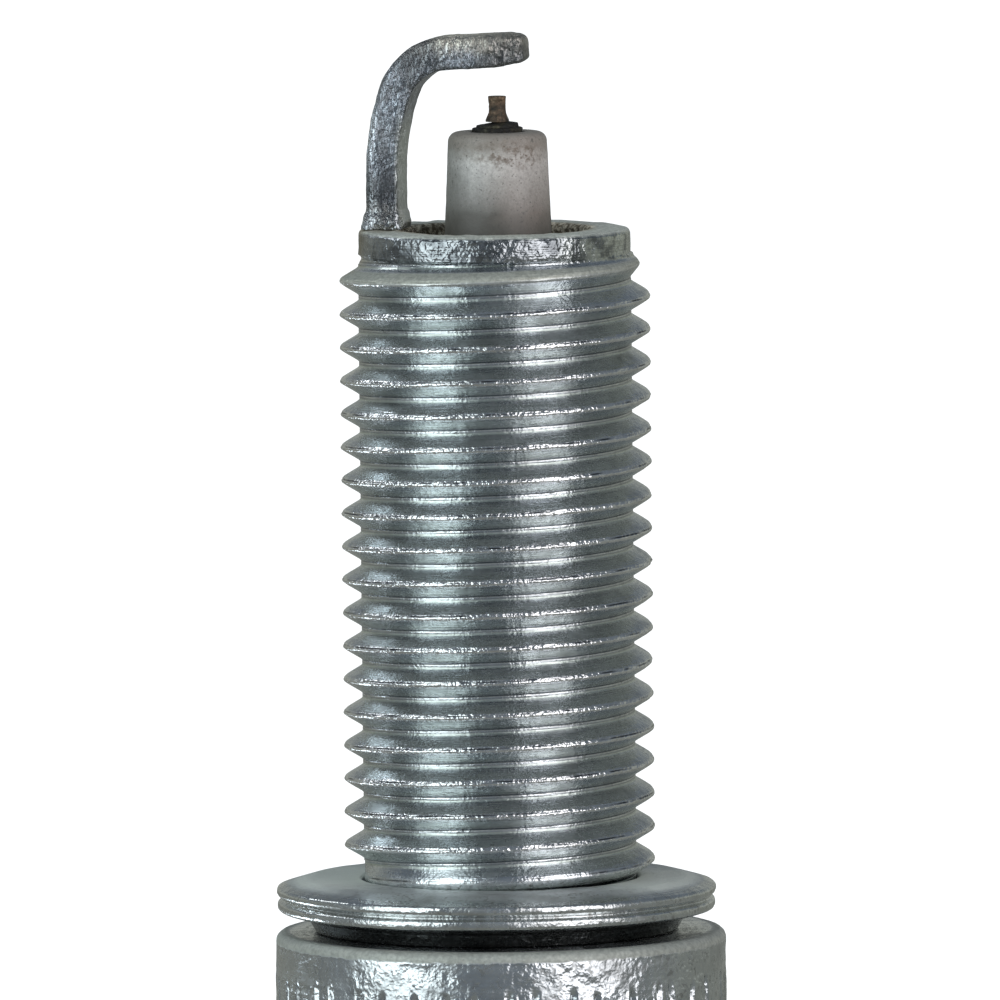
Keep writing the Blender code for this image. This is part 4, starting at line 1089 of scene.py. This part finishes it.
def make_shell_metal():
    """Plated collar and hexagon: bright, with orange peel and a dull, chalky edge on the collar."""
    finish = plated_metal(
        "plated_shell", (0.62, 0.655, 0.675, 1), (0.55, 0.58, 0.595, 1), (0.20, 0.20, 0.19, 1),
        0.15, 0.25, 0.14, 0.17, 3.0, 24.0, 2.6,
    )
    graph = finish.graph
    above, beyond = finish.corner(-0.42, -0.34, 7.9, 8.1, 0.22, 0.5)
    chalk = graph.times(above, beyond)
    grains = graph.spread(finish.grain(6.0, 3.0, 0.7), 0.38, 0.62)
    finish.colour(chalk, graph.mix(grains, (0.29, 0.305, 0.27, 1), (0.44, 0.46, 0.41, 1)), 0.85)
    finish.level("Roughness", chalk, 0.55)
    finish.level("Metallic", chalk, 0.4)
    return finish.material


def make_gasket_metal():
    """Plated gasket: painted shade under its fold, satin on its top plate, and a lighter, matter painted
    sheen there at both sides.
    """
    finish = plated_metal(
        "plated_gasket", (0.64, 0.67, 0.675, 1), (0.56, 0.585, 0.58, 1), (0.24, 0.235, 0.22, 1),
        0.15, 0.28, 0.10, 0.13, 10.0, 16.0, 1.8,
    )
    graph = finish.graph
    # Painted shade: dark below the fold, where the lower lip hides the foot.
    fold = finish.above(0.62, 0.76, 0.06, 0.4)
    finish.colour(graph.spread(fold, 0.0, 1.0, 0.85, 0.0), (0.05, 0.048, 0.045, 1))
    plate = finish.above(1.78, 1.92, 0.04, 0.4)
    finish.level("Roughness", plate, 0.5)
    # Painted sheen: lighter, matter patches at both sides of the top plate, for the light it catches there.
    left = finish.near((-6.3, -0.8, 1.9), 3.6, 1.6, 0.8, (1.0, 0.6, 1.0))
    right = finish.near((6.4, -0.6, 1.9), 3.2, 1.6, 0.8, (1.0, 0.6, 1.0))
    side_sheen = graph.times(graph.math("MAXIMUM", left, right), plate)
    finish.colour(side_sheen, (0.72, 0.76, 0.70, 1), 0.85)
    finish.level("Roughness", side_sheen, 0.6)
    finish.level("Metallic", side_sheen, 0.4)
    return finish.material


def make_nickel():
    """Ground electrode's nickel: pitted all over, with slanting scratches, tinted on top, dark where it was
    hot and smoother where the weld melted it, with a painted highlight along the leg's outer edge, a strip
    of painted shade low on its front and a painted reflection on its inner face."""
    finish = plated_metal(
        "electrode_nickel", (0.40, 0.44, 0.49, 1), (0.27, 0.295, 0.33, 1), (0.12, 0.115, 0.105, 1),
        0.20, 0.40, 0.30, 0.13, 3.0, 38.0, 0.8,
    )
    graph = finish.graph
    slant = {"Vector": finish.place, "Rotation": (0.5, 0.7, 0.2), "Scale": (11, 11, 1.5)}
    stroke = graph.node("ShaderNodeMapping", slant)
    scratch = graph.spread(graph.noise(stroke.outputs[0], 1.0, 3.0, 0.7), 0.5, 0.64)
    finish.relief(scratch, 26.0)
    # Painted highlight: a bright, smoother band along the leg's outer edge.
    outer_edge_highlight = finish.near((-4.85, -0.9, 30.6), 0.75, 0.25, 0.4, (1.0, 0.35, 0.34))
    finish.colour(outer_edge_highlight, (0.62, 0.67, 0.72, 1), 0.7)
    finish.level("Roughness", outer_edge_highlight, 0.16)
    finish.colour(finish.above(32.9, 33.7, 0.5, 0.4), (0.74, 0.68, 0.56, 1), 0.75)
    hot_end = finish.near((0.9, -0.4, 32.7), 1.9, 1.0, 0.4)
    finish.colour(hot_end, (0.14, 0.14, 0.135, 1), 0.85)
    bend = finish.near((-2.9, -1.0, 33.2), 1.4, 0.5, 0.5)
    finish.colour(bend, (0.12, 0.125, 0.13, 1), 0.8)
    low_edge = finish.near((-4.9, -0.9, 27.8), 1.2, 0.4, 0.4)
    finish.colour(low_edge, (0.14, 0.15, 0.155, 1), 0.8)
    # Painted shade: a dark strip low on the leg's front.
    low_front_shade = finish.near((-3.85, -1.1, 27.9), 0.95, 0.3, 0.4, (1.6, 1.0, 0.5))
    finish.colour(low_front_shade, (0.09, 0.095, 0.105, 1), 0.85)
    # Painted reflection: a lighter, rougher patch on the leg's inner face.
    inner_face_reflection = finish.near((-3.35, 0.2, 28.6), 0.95, 0.2, 0.4, (3.0, 0.4, 0.3))
    finish.colour(inner_face_reflection, (0.56, 0.60, 0.56, 1), 0.8)
    finish.level("Roughness", inner_face_reflection, 0.42)
    weld = finish.near((-4.1, -0.6, 26.45), 1.3, 0.5, 0.3)
    finish.colour(weld, (0.60, 0.58, 0.52, 1), 0.35)
    finish.level("Roughness", weld, 0.18, 0.7)
    return finish.material


def make_fired_metal(name, clean, dull, deposit, roughness, grain, bare_above=100.0):
    """Electrode metal under a baked-on deposit: part bare, part matt, and barer above a height in
    millimetres."""
    finish = Finish(name, 0.6)
    graph = finish.graph
    dirt = graph.effect(GRIME, Blotch_Size=0.6, Amount=0.7).outputs
    pit = graph.effect(PITTING, Grain=grain).outputs
    tone = graph.mix(graph.spread(dirt["Tint"], 0.35, 0.65), clean, dull)
    bare = finish.above(bare_above, bare_above + 0.3, 0.1, 0.2)
    kept = graph.math("SUBTRACT", 1.0, graph.times(bare, 0.75))
    cover = graph.times(graph.math("MAXIMUM", dirt["Mask"], pit["Pits"]), kept)
    finish.feed("Base Color", graph.mix(cover, tone, deposit))
    finish.feed("Roughness", graph.math("MULTIPLY_ADD", cover, 0.3, roughness))
    finish.feed("Metallic", graph.spread(cover, 0.0, 1.0, 0.9, 0.15))
    finish.relief(pit["Height"], 30.0)
    return finish.material


def make_alumina():
    """Insulator: white and glazed at the head; at the nose bare, with soot and painted shade that thicken
    down to the rim, a brown edge of soot and painted shade at the tip, and dots and rusty specks."""
    finish = Finish("alumina", 0.0, ior=1.6)
    graph = finish.graph
    dirt = graph.effect(GRIME, Blotch_Size=1.1, Amount=0.6).outputs
    pit = graph.effect(PITTING, Grain=0.09).outputs
    tint = graph.spread(dirt["Tint"], 0.3, 0.7)
    bare = graph.mix(tint, (0.76, 0.75, 0.72, 1), (0.60, 0.59, 0.57, 1))
    # Soot and painted shade: darker down towards the rim, which shades the nose's foot.
    clear_of_rim = finish.above(27.1, 29.25, 0.5, 0.8)
    finish.feed("Base Color", graph.mix(clear_of_rim, (0.10, 0.096, 0.084, 1), bare))
    # Brown soot and painted shade on the tip's rounded edge.
    tip = finish.above(28.95, 29.6, 0.5, 0.5)
    finish.colour(tip, (0.185, 0.155, 0.12, 1), 0.8)
    shaded_side = finish.near((-1.9, -0.6, 28.3), 1.9, 0.8, 0.4)
    finish.colour(shaded_side, (0.20, 0.20, 0.185, 1), 0.68)
    warm_side = finish.near((1.9, -1.2, 28.2), 2.3, 0.8, 0.5)
    finish.colour(warm_side, (0.44, 0.36, 0.315, 1), 0.35)
    dots = graph.spread(finish.grain(8.0, 2.0, 0.6), 0.62, 0.70)
    finish.colour(dots, (0.09, 0.085, 0.075, 1), 0.75)
    by_tip = finish.near((1.0, -1.6, 29.35), 1.5, 1.0, 0.4, (0.8, 1.0, 2.2))
    rust = graph.times(by_tip, graph.spread(finish.grain(4.0, 3.0, 0.7), 0.46, 0.60))
    finish.colour(rust, (0.13, 0.085, 0.05, 1), 0.7)
    finish.colour(dirt["Specks"], (0.16, 0.15, 0.13, 1), 0.7)
    fine = graph.spread(finish.grain(13.0, 2.0, 0.6), 0.36, 0.64)
    finish.colour(fine, (0.10, 0.095, 0.085, 1), 0.22)

    at_nose = finish.above(0.0, 1.0, 0.0, 1.0)
    glaze = graph.mix(tint, (0.83, 0.83, 0.81, 1), (0.78, 0.78, 0.755, 1))
    finish.feed("Base Color", graph.mix(at_nose, glaze, finish.under("Base Color")))
    matt = graph.math("MULTIPLY_ADD", dirt["Specks"], 0.2, 0.52)
    glossy = graph.math("MULTIPLY_ADD", dirt["Tint"], 0.06, 0.05)
    finish.feed("Roughness", graph.node("ShaderNodeMix", {0: at_nose, 2: glossy, 3: matt}).outputs[0])
    finish.feed("Coat Weight", graph.spread(at_nose, 0.0, 1.0, 1.0, 0.0))
    finish.relief(graph.times(pit["Height"], at_nose), 10.0)
    return finish.material


def make_plain_solid(name, one, other, roughness, metallic=0.0, grain=0.2):
    """Inner piece, seen only when taken apart: two blotched tones, with grain in its roughness and bump."""
    finish = Finish(name, metallic)
    graph = finish.graph
    dirt = graph.effect(GRIME, Blotch_Size=1.5, Amount=0.5).outputs
    pit = graph.effect(PITTING, Grain=grain).outputs
    finish.feed("Base Color", graph.mix(graph.spread(dirt["Tint"], 0.3, 0.7), one, other))
    finish.feed("Roughness", graph.math("MULTIPLY_ADD", pit["Pits"], 0.15, roughness))
    finish.relief(pit["Height"], 10.0)
    return finish.material


def make_terminal_metal(name):
    """Turned steel, nearly clean, as on the terminal and the small rings."""
    finish = plated_metal(
        name, (0.70, 0.70, 0.68, 1), (0.60, 0.60, 0.58, 1), (0.25, 0.24, 0.22, 1),
        0.20, 0.25, 0.10, 0.2, 4.0, 6.0, 2.2,
    )
    return finish.material


MATERIALS = {
    "plated_thread": make_thread_metal(),
    "plated_shell": make_shell_metal(),
    "plated_gasket": make_gasket_metal(),
    "electrode_nickel": make_nickel(),
    "precious_metal": make_fired_metal(
        "precious_metal", (0.40, 0.31, 0.23, 1), (0.16, 0.135, 0.10, 1), (0.05, 0.045, 0.035, 1),
        0.35, 0.07,
    ),
    "sooted_wire": make_fired_metal(
        "sooted_wire", (0.32, 0.21, 0.135, 1), (0.14, 0.10, 0.065, 1), (0.018, 0.016, 0.011, 1), 0.40, 0.07,
        bare_above=WIRE_HIGH.z - 0.45,
    ),
    "sooted_nickel": make_fired_metal(
        "sooted_nickel", (0.12, 0.11, 0.07, 1), (0.045, 0.040, 0.028, 1), (0.008, 0.007, 0.006, 1),
        0.42, 0.09,
    ),
    "alumina": make_alumina(),
    "copper": make_plain_solid("copper", (0.80, 0.42, 0.28, 1), (0.66, 0.32, 0.20, 1), 0.32, 1.0),
    "seal_glass": make_plain_solid("seal_glass", (0.12, 0.10, 0.09, 1), (0.22, 0.17, 0.14, 1), 0.35),
    "resistor_glass": make_plain_solid(
        "resistor_glass", (0.05, 0.05, 0.055, 1), (0.10, 0.10, 0.10, 1), 0.45
    ),
    "bare_steel": make_terminal_metal("bare_steel"),
    "plated_terminal": make_terminal_metal("plated_terminal"),
    "talc": make_plain_solid("talc", (0.78, 0.77, 0.72, 1), (0.70, 0.69, 0.63, 1), 0.85, 0.0, 0.12),
}

# ---------------------------------------------------------------------------------------------------------
# Pieces on their bodies
# ---------------------------------------------------------------------------------------------------------


def finish_piece(piece, material, slot, body, *nodes):
    """Gives a piece its material, its body and the nodes it replaces. Its slot is not used."""
    piece.data.materials.clear()
    piece.data.materials.append(MATERIALS[material])
    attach(piece, body)
    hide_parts(*nodes)


finish_piece(make_shank(), "plated_thread", "plated_shell", "plug", "shell")
finish_piece(make_collar(), "plated_shell", "plated_shell", "plug", "shell")
finish_piece(make_hexagon(), "plated_shell", "plated_shell", "plug", "shell")
finish_piece(make_gasket(), "plated_gasket", "plated_gasket", "captive_gasket", "gasket")
finish_piece(make_insulator(), "alumina", "alumina", "plug", "insulator")
finish_piece(make_sheath(), "sooted_nickel", "sooted_nickel", "plug", "center_electrode")
finish_piece(make_wire(), "sooted_wire", "sooted_wire", "plug", "center_electrode_tip")
finish_piece(make_ground_electrode(), "electrode_nickel", "electrode_nickel", "plug", "ground_electrode")
finish_piece(make_nut(), "plated_terminal", "plated_terminal", "screw_terminal", "terminal_nut")

INNER_NODES = {
    "terminal_stud": "bare_steel",
    "ground_electrode_pad": "precious_metal",
    "center_electrode_core": "copper",
    "lower_glass_seal": "seal_glass",
    "suppressor_resistor": "resistor_glass",
    "upper_glass_seal": "seal_glass",
    "inner_seal_washer": "bare_steel",
    "lower_packing_ring": "bare_steel",
    "talc_packing": "talc",
    "upper_packing_ring": "bare_steel",
}
for node_name, material_name in INNER_NODES.items():
    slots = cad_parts[node_name].data.materials
    slots.clear()
    slots.append(MATERIALS[material_name])

# ---------------------------------------------------------------------------------------------------------
# Camera, lights and floor
# ---------------------------------------------------------------------------------------------------------

VIEW_AZIMUTH, VIEW_ELEVATION, VIEW_ROLL = math.radians(10.5), math.radians(4.9), math.radians(0.55)
VIEW_DISTANCE = 0.70
AIM_HEIGHT, AIM_RIGHT, AIM_UP = 13.6, 0.123, 2.614
LENS, SENSOR_WIDTH = 669.8, 36.0


def make_camera():
    """Long-lens camera, a little to the +X side of -Y and a little above, leaning by the roll."""
    level = Vector((math.sin(VIEW_AZIMUTH), -math.cos(VIEW_AZIMUTH), 0.0))
    outward = level * math.cos(VIEW_ELEVATION) + Vector((0.0, 0.0, math.sin(VIEW_ELEVATION)))
    right = (-outward).cross(Vector((0, 0, 1))).normalized()
    up = right.cross(-outward).normalized()
    aim = Vector((0, 0, AIM_HEIGHT * MM)) + right * AIM_RIGHT * MM + up * AIM_UP * MM
    leaned_right = right * math.cos(VIEW_ROLL) - up * math.sin(VIEW_ROLL)
    leaned_up = up * math.cos(VIEW_ROLL) + right * math.sin(VIEW_ROLL)
    camera = bpy.data.objects.new("studio_camera", bpy.data.cameras.new("studio_camera"))
    bpy.context.scene.collection.objects.link(camera)
    turn = Matrix((leaned_right, leaned_up, outward)).transposed().to_4x4()
    camera.matrix_world = Matrix.Translation(aim + outward * VIEW_DISTANCE) @ turn
    camera.data.sensor_width = SENSOR_WIDTH
    camera.data.lens = LENS
    camera.data.clip_start = 0.02
    camera.data.clip_end = 100.0
    bpy.context.scene.camera = camera


PLUG_MIDDLE = 0.012


def soft_box(name, azimuth, height, distance, width, tall, radiance, colour):
    """Area light at an azimuth from the camera's, level if it is tall and aimed at the plug's middle if not.
    A face that sends out radiance L over its area A needs a power of pi A L."""
    at = VIEW_AZIMUTH + math.radians(azimuth)
    lamp = bpy.data.lights.new(name, "AREA")
    lamp.shape = "RECTANGLE"
    lamp.size, lamp.size_y = width, tall
    lamp.energy = math.pi * width * tall * radiance
    lamp.color = colour
    light = bpy.data.objects.new(name, lamp)
    bpy.context.scene.collection.objects.link(light)
    place = Vector((math.sin(at) * distance, -math.cos(at) * distance, height))
    light.location = place
    light.visible_camera = False
    aim_height = height if tall > width else PLUG_MIDDLE
    light.rotation_euler = (Vector((0, 0, aim_height)) - place).to_track_quat("-Z", "Y").to_euler()
    return light


def make_world():
    """Dim room: bluer in front, lighter and greener behind, darker overhead, and white to the camera."""
    world = bpy.data.worlds.new("studio_room")
    bpy.context.scene.world = world
    world.use_nodes = True
    world.node_tree.nodes.clear()
    graph = Graph(world.node_tree)
    direction = graph.node("ShaderNodeTexCoord").outputs["Generated"]
    axes = graph.node("ShaderNodeSeparateXYZ", {0: direction}).outputs
    behind = graph.spread(axes[1], -0.6, 0.6)
    walls = graph.mix(behind, (0.19, 0.215, 0.24, 1), (0.40, 0.415, 0.375, 1))
    room = graph.mix(graph.spread(axes[2], 0.10, 0.45), walls, (0.15, 0.175, 0.205, 1))
    seen = graph.node("ShaderNodeLightPath").outputs["Is Camera Ray"]
    colour = graph.mix(seen, room, (1.0, 1.0, 1.0, 1))
    background = graph.node("ShaderNodeBackground", {"Color": colour, "Strength": 1.0})
    output = graph.node("ShaderNodeOutputWorld")
    graph.link(background.outputs[0], output.inputs[0])


def make_floor():
    """Pale floor just below where the terminal ends when it is unscrewed. To the camera it glows up to
    white, so only faint shadows show, and from below it is clear."""
    reach = 12.0
    low = cad_low.z - (TERMINAL_TRAVEL + FLOOR_GAP) * MM
    steps = np.linspace(-reach, reach, 5)
    across, along = np.meshgrid(steps, steps, indexing="ij")
    points = np.stack([across, along, np.full_like(across, low)], axis=-1) / MM
    floor = surface("studio_floor", points)
    if floor.data.polygons[0].normal.z < 0:
        floor.data.flip_normals()
    material = bpy.data.materials.new("pale_floor")
    material.use_nodes = True
    material.node_tree.nodes.clear()
    graph = Graph(material.node_tree)
    place = graph.node("ShaderNodeTexCoord").outputs["Object"]
    distance = graph.node("ShaderNodeVectorMath", {0: place, 1: (0.0, 0.0, low)}, operation="DISTANCE")
    away = distance.outputs["Value"]
    speckle = graph.mix(graph.noise(place, 40.0, 4.0), (0.76, 0.78, 0.76, 1), (0.80, 0.82, 0.80, 1))
    paint = graph.node("ShaderNodeBsdfDiffuse", {"Color": speckle})
    behind = graph.spread(graph.node("ShaderNodeSeparateXYZ", {0: place}).outputs[1], -0.25, 0.25)
    far = graph.mix(behind, (0.18, 0.20, 0.22, 1), (0.25, 0.26, 0.235, 1))
    shade = graph.mix(graph.spread(away, 0.05, 0.30), (0.24, 0.25, 0.235, 1), far)
    bounce = graph.node("ShaderNodeEmission", {"Color": shade, "Strength": 1.0})
    fade = graph.spread(away, 0.1, 0.4, 0.6, 1.0)
    glow = graph.node("ShaderNodeEmission", {"Color": (1, 1, 1, 1), "Strength": fade})
    both = graph.node("ShaderNodeAddShader", {0: paint.outputs[0], 1: glow.outputs[0]})
    seen = graph.node("ShaderNodeLightPath").outputs["Is Camera Ray"]
    mixed = graph.node("ShaderNodeMixShader", {0: seen, 1: bounce.outputs[0], 2: both.outputs[0]})
    under = graph.node("ShaderNodeNewGeometry").outputs["Backfacing"]
    clear = graph.node("ShaderNodeBsdfTransparent")
    sided = graph.node("ShaderNodeMixShader", {0: under, 1: mixed.outputs[0], 2: clear.outputs[0]})
    output = graph.node("ShaderNodeOutputMaterial")
    graph.link(sided.outputs[0], output.inputs[0])
    floor.data.materials.append(material)


make_camera()
make_world()
make_floor()
soft_box("left_soft_box", -52.0, 0.16, 0.30, 0.22, 0.42, 2.35, (0.90, 0.99, 1.0))
soft_box("right_soft_box", 41.5, 0.16, 0.30, 0.24, 0.42, 2.3, (1.0, 0.97, 0.985))
soft_box("low_soft_box", -126.0, -0.040, 0.105, 0.056, 0.020, 5.0, (0.82, 0.92, 1.0))
soft_box("back_soft_box", -122.0, 0.36, 0.48, 0.13, 0.13, 5.0, (0.93, 0.97, 1.0))
bpy.context.scene.view_settings.view_transform = "Standard"
